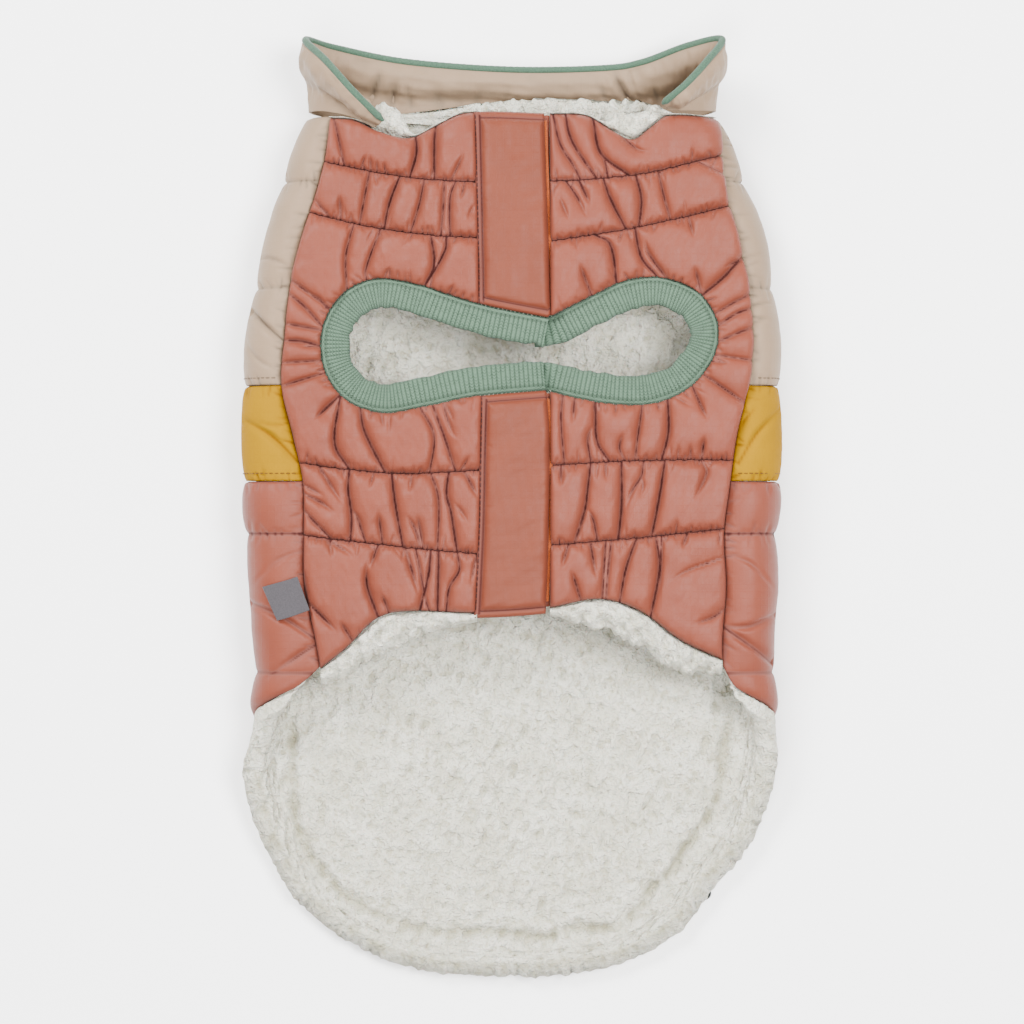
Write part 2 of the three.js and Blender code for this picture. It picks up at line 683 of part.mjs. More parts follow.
function flap(top, bottom, cutter) {
  const stops = [0, 0.07, 0.14, 0.19, 0.27, 0.45, 0.63, 0.81, 0.93, 1];
  const face = (puffed) => (u, v) => {
    const x = lerp(FLAP.left, FLAP.right, stops[Math.round(u * (stops.length - 1))]);
    const [high, low] = [top(x), bottom(x)];
    const y = lerp(high, low, v);
    const fromEnd = Math.min(high - y, y - low) + 0.8;
    return facePoint(x, y, -FLAP.lift - (puffed ? flapProfile(x, fromEnd) : 0));
  };
  const panel = wall({
    outer: face(true),
    inner: face(false),
    across: stops.length - 1,
    down: 12,
    acrossInner: 3,
    downInner: 6,
  });
  return solidOf(panel).subtract(cutter);
}

function tape(top, bottom, cutter) {
  const face = (depth) => (u, v) => {
    const x = lerp(FLAP.left + TAPE.inset, FLAP.right + TAPE.peek, u);
    const y = lerp(top(x) - 3, bottom(x) + 3, v);
    return facePoint(x, y, depth);
  };
  const strip = wall({ outer: face(-TAPE.lift - TAPE.thick), inner: face(-TAPE.lift), across: 1, down: 4 });
  return solidOf(strip).subtract(cutter);
}

// The ribbing, a knitted strip folded double and sewn along the leg opening
function ribbing(rows, tucked) {
  const curve = sewCurve(rows);
  const length = curve.getLength();
  const ribs = Math.round(length / RIB.pitch);
  const point = (at, distance, depth) => {
    const foot = curve.getPointAt(at);
    const ahead = curve.getTangentAt(at);
    const x = foot.x - ahead.y * distance;
    const y = foot.y + ahead.x * distance;
    const fromEnd = Math.min(at, 1 - at) * length;
    const down = tucked ? RIB_TUCK_DEPTH * smooth(RIB_TUCK - fromEnd, -10, 0) : 0;
    return facePoint(x, y, depth + down);
  };
  // Knitted ribs stand on the upper face as a row of ridges. The underside is plain.
  const ridge = (at) => (Math.round(at * 2 * ribs) % 2 ? RIB.raised : 0);
  return wall({
    outer: (u, v) => point(u, lerp(RIB.seam, RIB.wide, 1 - v), -RIB.top - ridge(u)),
    inner: (u, v) => point(u, lerp(RIB.seam, RIB.wide, 1 - v), RIB.bottom),
    across: 2 * ribs,
    down: 1,
    acrossInner: Math.round(ribs / 3),
    downInner: 1,
  });
}

// The collar, a padded band that stands round the neck and opens outwards at both ends
const curveOf = (x, y, z) =>
  new THREE.CatmullRomCurve3(COLLAR.map((row) => new THREE.Vector3(row[x], row[y], row[z])));
const COLLAR_SEWN = curveOf("sx", "sy", "sz");
const COLLAR_EDGE = curveOf("ex", "ey", "ez");

function collarMiddle(t, w) {
  const sewn = COLLAR_SEWN.getPoint(t);
  const edge = COLLAR_EDGE.getPoint(t);
  const lift = smooth(w, COLLAR_BAND.flatShare, 1) * 0.75 + 0.25 * w;
  return new THREE.Vector3(lerp(sewn.x, edge.x, w), lerp(sewn.y, edge.y, w), lerp(sewn.z, edge.z, lift));
}

function collarPoint(t, w, face) {
  const step = 0.004;
  const along = collarMiddle(Math.min(t + step, 1), w).sub(collarMiddle(Math.max(t - step, 0), w));
  const up = collarMiddle(t, Math.min(w + step, 1)).sub(collarMiddle(t, Math.max(w - step, 0)));
  const normal = along.cross(up).normalize();
  const { sewn, full, edge, flatShare } = COLLAR_BAND;
  const swell = lerp(sewn, full, smooth(w, flatShare, 0.68));
  const ends = smooth(Math.min(t, 1 - t), 0, 0.09) * 0.7 + 0.3;
  const thick = lerp(swell, edge, smooth(w, 0.82, 1)) * ends;
  return collarMiddle(t, w).addScaledVector(normal, (face * thick) / 2);
}

function collar() {
  return wall({
    outer: (u, v) => collarPoint(u, 1 - v, RIGHT),
    inner: (u, v) => collarPoint(u, 1 - v, LEFT),
    across: 40,
    down: 6,
  });
}

// A round cord in a cover, sewn along the collar's free edge.
function collarPiping() {
  const points = [];
  for (let step = 0; step <= 40; step += 1) {
    const t = step / 40;
    const edge = COLLAR_EDGE.getPoint(t);
    const up = edge.clone().sub(collarMiddle(t, 0.9)).normalize();
    points.push(edge.addScaledVector(up, PIPING.seat));
  }
  const ring = new THREE.Shape().absarc(0, 0, PIPING.radius, 0, 2 * Math.PI);
  return new THREE.ExtrudeGeometry(ring, {
    extrudePath: new THREE.CatmullRomCurve3(points),
    steps: PIPING.steps,
    curveSegments: PIPING.sides / 2,
  });
}

// Small pieces

// A folded woven label, lying on the back's side from its seam.
function label() {
  const turn = radians(LABEL.turn);
  const face = (lift) => (u, v) => {
    const across = (u - 0.5) * LABEL.across;
    const down = (0.5 - v) * LABEL.down;
    const x = LABEL.x + across * Math.cos(turn) - down * Math.sin(turn);
    const y = LABEL.y + across * Math.sin(turn) + down * Math.cos(turn);
    return facePoint(x, y, -BACK_PUFF - lift);
  };
  return wall({ outer: face(LABEL.lift + LABEL.thick), inner: face(LABEL.lift), across: 4, down: 4 });
}

// The stopper of the hem's drawcord, just under the tail's edge.
function stopper() {
  const { radius, thick } = STOPPER;
  const profile = [
    [0, 0],
    [radius - 0.8, 0],
    [radius, thick / 2],
    [radius - 0.8, thick],
    [0, thick],
  ].map(([out, up]) => new THREE.Vector2(out, up));
  return new THREE.LatheGeometry(profile, 20);
}

const material = (color, roughness) => new THREE.MeshStandardMaterial({ color, roughness, metalness: 0 });
const LOOKS = {
  sand: material(0xcbbba6, 0.6),
  mustard: material(0xe0b033, 0.6),
  rose: material(0xc38875, 0.55),
  fleece: material(0xe8e6df, 0.95),
  sage: material(0x86a992, 0.9),
  rust: material(0xa85f2c, 0.8),
  grey: material(0x77757b, 0.85),
  black: material(0x26272b, 0.4),
};

const coat = new THREE.Group();
function add(name, geometry, look) {
  const made = new THREE.Mesh(geometry, LOOKS[look]);
  made.name = name;
  coat.add(made);
  return made;
}

const cutter = legCutter();
add("back_yoke", backPiece(yokeWays, false), "sand");
add("back_band", backPiece(bandWays, false), "mustard");
add("back_body", backPiece(bodyWays, true), "rose");
add("lining_back", backLining(), "fleece");
add("belly_left", geometryOf(bellyPanel(LEFT, cutter)), "rose");
add("belly_right", geometryOf(bellyPanel(RIGHT, cutter)), "rose");
add("lining_belly_left", geometryOf(bellyLining(LEFT, cutter)), "fleece");
add("lining_belly_right", geometryOf(bellyLining(RIGHT, cutter)), "fleece");
add("rib_left", ribbing(SEW_LEFT, false), "sage");
add("rib_right", ribbing(SEW_RIGHT, true), "sage");

const chestTop = necklineAt;
const chestBottom = () => 70;
const tummyTop = () => 66;
const tummyBottom = hemlineAt;
add("underlap_chest", geometryOf(underlap(chestTop, chestBottom, cutter)), "rose");
add("underlap_tummy", geometryOf(underlap(tummyTop, tummyBottom, cutter)), "rose");
add("tape_chest", geometryOf(tape(chestTop, chestBottom, cutter)), "rust");
add("tape_tummy", geometryOf(tape(tummyTop, tummyBottom, cutter)), "rust");
add("flap_chest", geometryOf(flap(chestTop, chestBottom, cutter)), "rose");
add("flap_tummy", geometryOf(flap(tummyTop, tummyBottom, cutter)), "rose");

add("collar", collar(), "sand");
add("collar_piping", collarPiping(), "sage");
add("side_label", label(), "grey");
const knob = add("hem_stopper", stopper(), "black");
const knobTurn = radians(STOPPER.turn);
const knobReach = tailReach(RIGHT, STOPPER.turn) + STOPPER.past - STOPPER.radius;
knob.rotation.x = Math.PI / 2;
knob.position.set(knobReach * Math.cos(knobTurn), TAIL_CENTRE - knobReach * Math.sin(knobTurn), 0.1);

// The coat's middle stands over the origin, and its underside on z = 0.
const whole = new THREE.Box3().setFromObject(coat, true);
const middle = whole.getCenter(new THREE.Vector3());
coat.position.set(-middle.x, -middle.y, -whole.min.z);

export default coat;
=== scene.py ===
"""A quilted dog winter coat, laid on its back with the belly side up: its cloth, fleece, knit and stitching."""
import math

import bpy
import numpy as np
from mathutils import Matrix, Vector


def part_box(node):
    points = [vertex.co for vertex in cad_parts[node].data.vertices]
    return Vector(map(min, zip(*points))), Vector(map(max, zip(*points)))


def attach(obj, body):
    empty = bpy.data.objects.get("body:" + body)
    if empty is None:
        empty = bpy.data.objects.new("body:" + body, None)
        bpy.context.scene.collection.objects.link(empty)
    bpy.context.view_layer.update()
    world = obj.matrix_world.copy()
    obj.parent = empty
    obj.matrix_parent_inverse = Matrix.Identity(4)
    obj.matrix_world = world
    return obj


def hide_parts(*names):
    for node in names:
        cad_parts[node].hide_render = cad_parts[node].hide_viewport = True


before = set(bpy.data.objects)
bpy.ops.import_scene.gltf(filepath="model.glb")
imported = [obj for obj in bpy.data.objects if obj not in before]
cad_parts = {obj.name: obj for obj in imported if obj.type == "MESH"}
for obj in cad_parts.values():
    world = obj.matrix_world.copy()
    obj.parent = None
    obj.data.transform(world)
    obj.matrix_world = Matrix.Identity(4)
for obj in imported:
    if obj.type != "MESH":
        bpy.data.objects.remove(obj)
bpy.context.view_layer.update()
MM = 0.001  # every size below is in millimetres, and meshes are made in metres
LEFT, RIGHT = -1, 1

# Driving sizes, as in the solids
SHELL = 2.5  # shell cloth at a stitch line
LINING_IN = 3.1  # depth of the fleece's outer face below the shell's face
FLEECE = 4.6
CROWN = 8
BELLY_PUFF = 7.4  # how far a belly baffle stands above its stitch lines
BACK_PUFF = 3.5
GAP = 0.3
CELL = 0.55  # spacing of the belly's mesh

BODY = [
    dict(y=176, left=90, right=92, high=29, seam_left=80.6, seam_right=90.4),
    dict(y=160, left=95.5, right=98.5, high=30, seam_left=82.5, seam_right=93.6),
    dict(y=143, left=101.5, right=104.5, high=31, seam_left=86.5, seam_right=95.5),
    dict(y=124, left=107, right=111.5, high=32, seam_left=92.5, seam_right=100.5),
    dict(y=100, left=112.5, right=116, high=33, seam_left=98.5, seam_right=106),
    dict(y=76, left=116.5, right=118.7, high=34, seam_left=101.2, seam_right=108.2),
    dict(y=54, left=118.2, right=119.2, high=34, seam_left=102.6, seam_right=106.5),
    dict(y=32, left=118.4, right=119.2, high=34, seam_left=97.6, seam_right=101.5),
    dict(y=11, left=118.2, right=119.4, high=34, seam_left=93, seam_right=98.5),
    dict(y=-12, left=117.2, right=118, high=34, seam_left=92.6, seam_right=95.6),
    dict(y=-36, left=115, right=117.8, high=33, seam_left=92.2, seam_right=96.6),
    dict(y=-60, left=113.6, right=116.4, high=32, seam_left=87.4, seam_right=95),
    dict(y=-76, left=113.6, right=117.4, high=31, seam_left=85, seam_right=95.4),
    dict(y=-97, left=116, right=119.4, high=30, seam_left=85, seam_right=95.4),
]
NECK_SEAM, YOKE_SEAM, BAND_SEAM = 175, 54, 11
BACK_LINES = [NECK_SEAM, 146, 98, YOKE_SEAM, BAND_SEAM, -12.5, -75, -140]
TAIL_CENTRE = -97
TAIL = [
    dict(turn=0, left=117.5, right=120.5, wrap=118),
    dict(turn=10, left=120.6, right=119.6, wrap=80),
    dict(turn=20, left=122.7, right=120.3, wrap=58),
    dict(turn=30, left=123.6, right=120.4, wrap=48),
    dict(turn=40, left=125.2, right=117.8, wrap=44),
    dict(turn=50, left=123.8, right=121.2, wrap=42),
    dict(turn=60, left=122.2, right=120.9, wrap=40),
    dict(turn=70, left=119.8, right=118.8, wrap=39),
    dict(turn=80, left=116.8, right=116.4, wrap=38),
    dict(turn=90, left=115.2, right=115.2, wrap=38),
]
FLEECE_PAST = 4
FLEECE_SHORT = 2.6
HEM_EDGE = [
    dict(y=-72, over=1, wrap=180),
    dict(y=-84, over=0, wrap=180),
    dict(y=-91, over=0, wrap=155),
    dict(y=-97, over=0, wrap=118),
]
NECKLINE = [(-81, 174.2), (-70, 173), (-59, 168), (-45, 165), (-32, 171), (-20, 176), (17, 175.6), (34, 174.8),
            (46, 168), (55, 164.4), (63, 170), (70, 175), (92, 174.4)]
HEMLINE = [(-86, -73.5), (-74, -64), (-60, -50.5), (-46, -47), (-14, -47.6), (16, -45.6), (40, -41.6), (58, -47),
           (76, -60), (96, -69.5)]
BELLY_LINES = {
    LEFT: [
        dict(seam=154.5, middle=144.5, sag=2),
        dict(seam=131.5, middle=119.5, sag=2.5),
        dict(seam=73, middle=68, sag=0),
        dict(seam=19.5, middle=16, sag=3),
        dict(seam=-13, middle=-21.5, sag=0.5),
    ],
    RIGHT: [
        dict(seam=157.5, middle=145, sag=3),
        dict(seam=134.5, middle=118, sag=1.5),
        dict(seam=87.5, middle=68, sag=0),
        dict(seam=20.5, middle=18, sag=-1),
        dict(seam=-10, middle=-17.5, sag=0.5),
    ],
}
SEWN_LINES = (0, 1, 3, 4)  # of those, the ones that are stitched: the other runs through the leg opening
SEW_LEFT = [(17, 83.6), (-9.7, 88.9), (-26.8, 94), (-42, 99), (-60, 101.6), (-75, 95), (-84, 80), (-83.6, 62),
            (-74, 47.8), (-57, 41.6), (-36, 44.8), (-16, 48.8), (15.5, 51.6)]
SEW_RIGHT = [(9.5, 51.4), (17, 51), (28, 48.4), (46, 45.4), (64, 45.8), (80, 53), (91, 67), (92.6, 82), (84, 95.6),
             (68, 102), (52, 100.8), (38, 94.6), (26, 88.6), (17, 84.4), (9.5, 83.6)]
RIB = dict(seam=0.6, wide=13, pitch=2, raised=0.42, top=1.5, bottom=2)
RIB_TUCK, RIB_TUCK_DEPTH = 7, 4.4
FLAP = dict(left=-14.6, right=16.8, underlap=-7, high=4.4, channel=4.4, lift=1.9)
TAPE = dict(inset=7, peek=1.2, thick=1.2, lift=0.35)
COLLAR = [
    (-61, 169.6, 32.5, -57.5, 171.4, 38), (-71, 174.6, 31.5, -70.5, 184, 43), (-83, 177.4, 27, -82.5, 197.5, 41),
    (-90.5, 178, 15, -92, 208, 28), (-79, 176.5, 2.6, -80, 206.5, 13), (-48, 175.6, 2, -47.5, 200.5, 8.5),
    (0, 175.6, 2, 0, 197, 8), (42, 175.6, 2, 42, 197.6, 8.5), (66, 176, 2.2, 60, 200, 12),
    (83, 177, 4, 80, 206.5, 20), (92, 178.4, 15, 94.6, 208, 31), (87.5, 177.6, 27, 87.5, 197, 42),
    (79, 177.4, 31.5, 78, 186.5, 44), (71.5, 177.4, 32.5, 68.5, 179, 38),
]
COLLAR_BAND = dict(sewn=1.6, full=7.4, edge=3.4, flat_share=0.36)
PIPING = dict(radius=1.6, seat=1.3)
NECK_RISE = [(-90, 0.5), (-62, 2), (-48, 0.3), (-28, 0), (-20, 5), (-10, 6.5), (58, 6.8), (68, 4), (80, 0.5), (90, 0.5)]
NECK_LIFT = 0.8
NECK_TUFTS = [(-55, 13, 9), (56, 11, 12)]
HEM_ROLL = [(-90, 5), (-80, 10), (-66, 16), (-50, 16), (-38, 10), (-14, 4), (17, 4), (34, 12), (56, 16), (74, 15),
            (86, 10), (98, 5)]
LABEL = dict(across=14, down=16, x=-99, y=-41.4, turn=20)
STOPPER = dict(radius=3, thick=2, turn=42, past=4.1)

# Small working functions


def smooth(value, start, end):
    """An eased step from 0 at one value to 1 at another, which may be the lower one."""
    share = np.clip((np.asarray(value, float) - start) / (end - start), 0, 1)
    return share * share * (3 - 2 * share)


def lerp(low, high, share):
    return low + (high - low) * share


def through(at, value):
    """A smooth line through points, read at any place along them."""
    order = np.argsort(at)
    at, value = np.asarray(at, float)[order], np.asarray(value, float)[order]
    last = len(at) - 1
    before, after = np.maximum(np.arange(last + 1) - 1, 0), np.minimum(np.arange(last + 1) + 1, last)
    slope = (value[after] - value[before]) / (at[after] - at[before])

    def read(wanted):
        t = np.clip(np.asarray(wanted, float), at[0], at[-1])
        i = np.clip(np.searchsorted(at, t) - 1, 0, last - 1)
        step = at[i + 1] - at[i]
        f = (t - at[i]) / step
        bend = (1 - f) ** 2 * f * step * slope[i] - f * f * (1 - f) * step * slope[i + 1]
        return (1 + 2 * f) * (1 - f) ** 2 * value[i] + f * f * (3 - 2 * f) * value[i + 1] + bend

    return read


def track(rows, key, column):
    return through([row[key] for row in rows], [row[column] for row in rows])


def pairs(rows):
    return through([row[0] for row in rows], [row[1] for row in rows])


reach_left, reach_right = track(BODY, "y", "left"), track(BODY, "y", "right")
high_at = track(BODY, "y", "high")
seam_left, seam_right = track(BODY, "y", "seam_left"), track(BODY, "y", "seam_right")
neckline_at, hemline_at = pairs(NECKLINE), pairs(HEMLINE)
neck_rise_at, hem_roll_at = pairs(NECK_RISE), pairs(HEM_ROLL)
wrap_down, over_down = track(HEM_EDGE, "y", "wrap"), track(HEM_EDGE, "y", "over")
tail_left, tail_right, tail_wrap = (track(TAIL, "turn", key) for key in ("left", "right", "wrap"))


def reach_at(side, y):
    return np.where(np.asarray(side) < 0, reach_left(y), reach_right(y))


def seam_at(side, y):
    return np.where(np.asarray(side) < 0, seam_left(y), seam_right(y))


def crown_at(x, flat_reach, y):
    share = np.clip(np.abs(x) / flat_reach, 0, 1)
    return CROWN * (smooth(y, 200, 120) * 0.6 + 0.4) * (1 - share * share) ** 2


def way_out(out, y, side):
    """Distance over the top and round the side at which a point of the plan lies from the middle line."""
    half = high_at(y) / 2
    flat_reach = reach_at(side, y) - half
    bent = flat_reach + half * np.arcsin(np.clip((out - flat_reach) / half, 0, 1))
    return np.where(out <= flat_reach, out, bent)


def plan_x(way, y, side):
    """The reverse of way_out."""
    half = high_at(y) / 2
    flat_reach = reach_at(side, y) - half
    return np.where(way <= flat_reach, way, flat_reach + half * np.sin(np.clip((way - flat_reach) / half, 0, 1.5708)))


def face_point(x, y, depth):
    """Points of the laid tube's upper half, at a depth below the shell's face over (x, y)."""
    x, y, depth = np.broadcast_arrays(np.asarray(x, float), np.asarray(y, float), np.asarray(depth, float))
    side = np.where(x < 0, LEFT, RIGHT)
    half = high_at(y) / 2
    flat_reach = reach_at(side, y) - half
    turn = np.maximum((way_out(np.abs(x), y, side) - flat_reach) / half, 0)
    out = np.where(turn > 0, flat_reach + (half - depth) * np.sin(turn), np.abs(x))
    z = np.where(turn > 0, half + (half - depth) * np.cos(turn), 2 * half - depth + crown_at(x, flat_reach, y))
    return np.stack([side * out, y, z], axis=-1)


def curve(points):
    """Points and directions along a smooth line, by share of its length."""
    points = np.asarray(points, float)
    steps = np.sqrt(np.linalg.norm(np.diff(points, axis=0), axis=1))
    at = np.concatenate([[0], np.cumsum(steps)])
    columns = [through(at, points[:, k]) for k in range(points.shape[1])]
    fine = np.linspace(0, at[-1], 1500)
    line = np.stack([column(fine) for column in columns], axis=-1)
    length = np.concatenate([[0], np.cumsum(np.linalg.norm(np.diff(line, axis=0), axis=1))])

    def read(share):
        t = np.interp(np.asarray(share) * length[-1], length, fine)
        here = np.stack([column(t) for column in columns], axis=-1)
        on = np.stack([column(t + 0.01) - column(t - 0.01) for column in columns], axis=-1)
        return here, on / np.maximum(np.linalg.norm(on, axis=-1, keepdims=True), 1e-9)

    read.length = float(length[-1])
    return read


def jitter(seed):
    return np.random.default_rng(seed)


def cells(u, v, size, seed, sharp=False):
    """Rounded lumps of about one size over a surface: distance to the nearest of scattered points, 0 to 1."""
    gu, gv = u / size, v / size
    iu, iv = np.floor(gu).astype(int), np.floor(gv).astype(int)
    nearest = np.full(np.shape(gu), 9.0)
    for du in (-1, 0, 1):
        for dv in (-1, 0, 1):
            a, b = iu + du, iv + dv
            hashed = np.sin(a * 127.1 + b * 311.7 + seed * 17.3) * 43758.5453
            hashed2 = np.sin(a * 269.5 + b * 183.3 + seed * 29.9) * 43758.5453
            pu, pv = a + hashed - np.floor(hashed), b + hashed2 - np.floor(hashed2)
            nearest = np.minimum(nearest, (gu - pu) ** 2 + (gv - pv) ** 2)
    nearest = np.sqrt(nearest)
    return np.clip(nearest, 0, 1) if sharp else 1 - np.clip(nearest, 0, 1) ** 2


def waves(u, v, size, seed, octaves=3):
    """Soft uneven waves over a surface, about -1 to 1."""
    total = np.zeros(np.shape(u))
    rng = jitter(seed)
    for octave in range(octaves):
        for _ in range(5):
            angle, phase = rng.uniform(0, math.pi), rng.uniform(0, 2 * math.pi)
            k = 2 * math.pi / (size / 2**octave) * rng.uniform(0.7, 1.3)
            total += np.sin((u * math.cos(angle) + v * math.sin(angle)) * k + phase) / 2**octave
    return total / 5


# Meshes


def make(name, points, faces, material, uv=None, painted_shade_map=None):
    """A smooth-shaded piece from points in millimetres, which rides on the coat."""
    mesh = bpy.data.meshes.new(name)
    mesh.from_pydata([], [], []) if len(points) == 0 else None
    points = np.asarray(points, float) + np.array([SHIFT[0], SHIFT[1], 0])
    mesh.vertices.add(len(points))
    mesh.vertices.foreach_set("co", (points * MM).ravel())
    loops = np.concatenate([np.asarray(f).ravel() for f in faces])
    counts = np.concatenate([np.full(len(f), np.asarray(f).shape[1]) for f in faces])
    mesh.loops.add(len(loops))
    mesh.polygons.add(len(counts))
    mesh.loops.foreach_set("vertex_index", loops.astype(np.int32))
    mesh.polygons.foreach_set("loop_start", (np.cumsum(counts) - counts).astype(np.int32))
    mesh.polygons.foreach_set("loop_total", counts.astype(np.int32))
    if uv is not None:
        layer = mesh.uv_layers.new(name="cloth")
        layer.data.foreach_set("uv", (np.asarray(uv)[loops] * MM).ravel())
    # The painted shade map becomes a point attribute that darkens the colour where shade would fall.
    if painted_shade_map is not None:
        shade = mesh.attributes.new("painted_shade", "FLOAT", "POINT")
        shade.data.foreach_set("value", np.asarray(painted_shade_map, np.float32))
    mesh.update(calc_edges=True)
    mesh.validate()
    mesh.polygons.foreach_set("use_smooth", np.ones(len(mesh.polygons), bool))
    piece = bpy.data.objects.new(name, mesh)
    bpy.context.collection.objects.link(piece)
    mesh.materials.append(material)
    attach(piece, "root")
    return piece


def quads(rows, columns, start=0, flip=False):
    index = start + np.arange(rows * columns).reshape(rows, columns)
    a, b, c, d = index[:-1, :-1], index[:-1, 1:], index[1:, 1:], index[1:, :-1]
    order = (a, b, c, d) if flip else (a, d, c, b)
    return np.stack(order, axis=-1).reshape(-1, 4)


def zip_edges(line_a, line_b, at_a=None, at_b=None):
    """Triangles between two lines of points that run the same way, each with its points' shares of the way."""
    made = []
    a = b = 0
    last_a, last_b = len(line_a) - 1, len(line_b) - 1
    at_a = np.linspace(0, 1, last_a + 1) if at_a is None else at_a
    at_b = np.linspace(0, 1, last_b + 1) if at_b is None else at_b
    while a < last_a or b < last_b:
        if b == last_b or (a < last_a and at_a[a + 1] <= at_b[b + 1]):
            made.append((line_a[a], line_a[a + 1], line_b[b]))
            a += 1
        else:
            made.append((line_a[a], line_b[b + 1], line_b[b]))
            b += 1
    return np.array(made)


def wall(name, outer, inner, material, uv=None, painted_shade_map=None, ends_meet=False, kept_rows=None):
    """A closed piece of cloth between two grids of points. Seen from outside, rows run down and columns
    to the right. Where its ends meet, the last row is folded onto itself and joined. kept_rows are the
    outer rows that the inner grid has too."""
    rows, columns = outer.shape[:2]
    rows_in, columns_in = inner.shape[:2]
    start = rows * columns
    points = np.concatenate([outer.reshape(-1, 3), inner.reshape(-1, 3)])
    top = np.arange(start).reshape(rows, columns)
    low = start + np.arange(rows_in * columns_in).reshape(rows_in, columns_in)
    at_low = None if kept_rows is None else np.asarray(kept_rows) / (rows - 1)
    edges = [zip_edges(top[0], low[0]), zip_edges(low[:, 0], top[:, 0], at_low),
             zip_edges(top[:, -1], low[:, -1], None, at_low)]
    if not ends_meet:
        edges.append(zip_edges(low[-1], top[-1]))
    faces = [quads(rows, columns), quads(rows_in, columns_in, start, True), np.concatenate(edges)]
    if ends_meet:
        joined = np.arange(len(points))
        for line in (top[-1], low[-1]):
            middle = len(line) // 2
            joined[line[middle + 1:]] = line[:middle][::-1]
        faces = [joined[f] for f in faces]
        kept = np.unique(joined)
        points = points[kept]
        faces = [np.searchsorted(kept, f) for f in faces]
    flat_uv = None
    if uv is not None:
        pick_r = np.linspace(0, rows - 1, rows_in).round().astype(int)
        pick_c = np.linspace(0, columns - 1, columns_in).round().astype(int)
        flat_uv = np.concatenate([uv.reshape(-1, 2), uv[np.ix_(pick_r, pick_c)].reshape(-1, 2)])
    if painted_shade_map is not None:
        painted_shade_map = np.concatenate([painted_shade_map.ravel(), np.zeros(rows_in * columns_in)])
        painted_shade_map = painted_shade_map[kept] if ends_meet else painted_shade_map
    return make(name, points, faces, material, flat_uv, painted_shade_map)


SHIFT = (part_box("belly_left")[1].x / MM - FLAP["left"] + GAP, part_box("back_yoke")[1].y / MM - NECK_SEAM)


# Material nodes


class Nodes:
    """A material under construction: each call adds a node and wires its inputs."""

    def __init__(self, name):
        self.material = bpy.data.materials.new(name)
        self.material.use_nodes = True
        self.tree = self.material.node_tree
        self.tree.nodes.clear()
        self.surface = self.add("ShaderNodeBsdfPrincipled")
        output = self.add("ShaderNodeOutputMaterial")
        self.tree.links.new(self.surface.outputs[0], output.inputs[0])
        self.place = self.add("ShaderNodeTexCoord").outputs["Object"]

    def add(self, kind, values=None, **settings):
        node = self.tree.nodes.new(kind)
        for key, value in settings.items():
            setattr(node, key, value)
        for key, value in (values or {}).items():
            if isinstance(value, bpy.types.NodeSocket):
                self.tree.links.new(value, node.inputs[key])
            else:
                node.inputs[key].default_value = value
        return node

    def math(self, operation, a, b=0.0):
        return self.add("ShaderNodeMath", {0: a, 1: b}, operation=operation).outputs[0]

    def noise(self, size, detail=2.0, place=None, roughness=0.5):
        """Soft noise whose features are about size millimetres across."""
        values = {"Vector": place or self.place, "Scale": 1 / (size * MM), "Detail": detail, "Roughness": roughness}
        return self.add("ShaderNodeTexNoise", values).outputs[0]

    def lumps(self, size, place=None):
        values = {"Vector": place or self.place, "Scale": 1 / (size * MM)}
        return self.add("ShaderNodeTexVoronoi", values, feature="SMOOTH_F1").outputs["Distance"]

    def blend(self, share, low, high):
        node = self.add("ShaderNodeMix", {"Factor": share}, data_type="RGBA")
        for key, value in (("A", low), ("B", high)):
            socket = [s for s in node.inputs if s.name == key and s.type == "RGBA"][0]
            if isinstance(value, bpy.types.NodeSocket):
                self.tree.links.new(value, socket)
            else:
                socket.default_value = value
        return [s for s in node.outputs if s.type == "RGBA"][0]

    def span(self, value, low, high):
        """A share from 0 to 1 as a value runs from low to high."""
        return self.add("ShaderNodeMapRange", {0: value, 1: low, 2: high}, interpolation_type="SMOOTHSTEP").outputs[0]

    def bump(self, height, distance, normal=None, strength=1.0):
        values = {"Height": height, "Distance": distance * MM, "Strength": strength}
        if normal is not None:
            values["Normal"] = normal
        return self.add("ShaderNodeBump", values).outputs[0]

    def finish(self, colour, roughness, normal, sheen=0.0, subsurface=0.0, specular=0.3):
        values = {"Base Color": colour, "Roughness": roughness, "Sheen Weight": sheen, "Sheen Roughness": 0.5,
                  "Specular IOR Level": specular, "Subsurface Weight": subsurface, "Subsurface Scale": 0.002}
        if normal is not None:
            values["Normal"] = normal
        for key, value in values.items():
            if isinstance(value, bpy.types.NodeSocket):
                self.tree.links.new(value, self.surface.inputs[key])
            else:
                self.surface.inputs[key].default_value = value
        return self.material


def rgb(red, green, blue):
    """A shader colour from the 0 to 255 values that a screen shows."""
    return tuple(((c / 255 + 0.055) / 1.055) ** 2.4 if c > 10 else c / 255 / 12.92 for c in (red, green, blue)) + (1,)


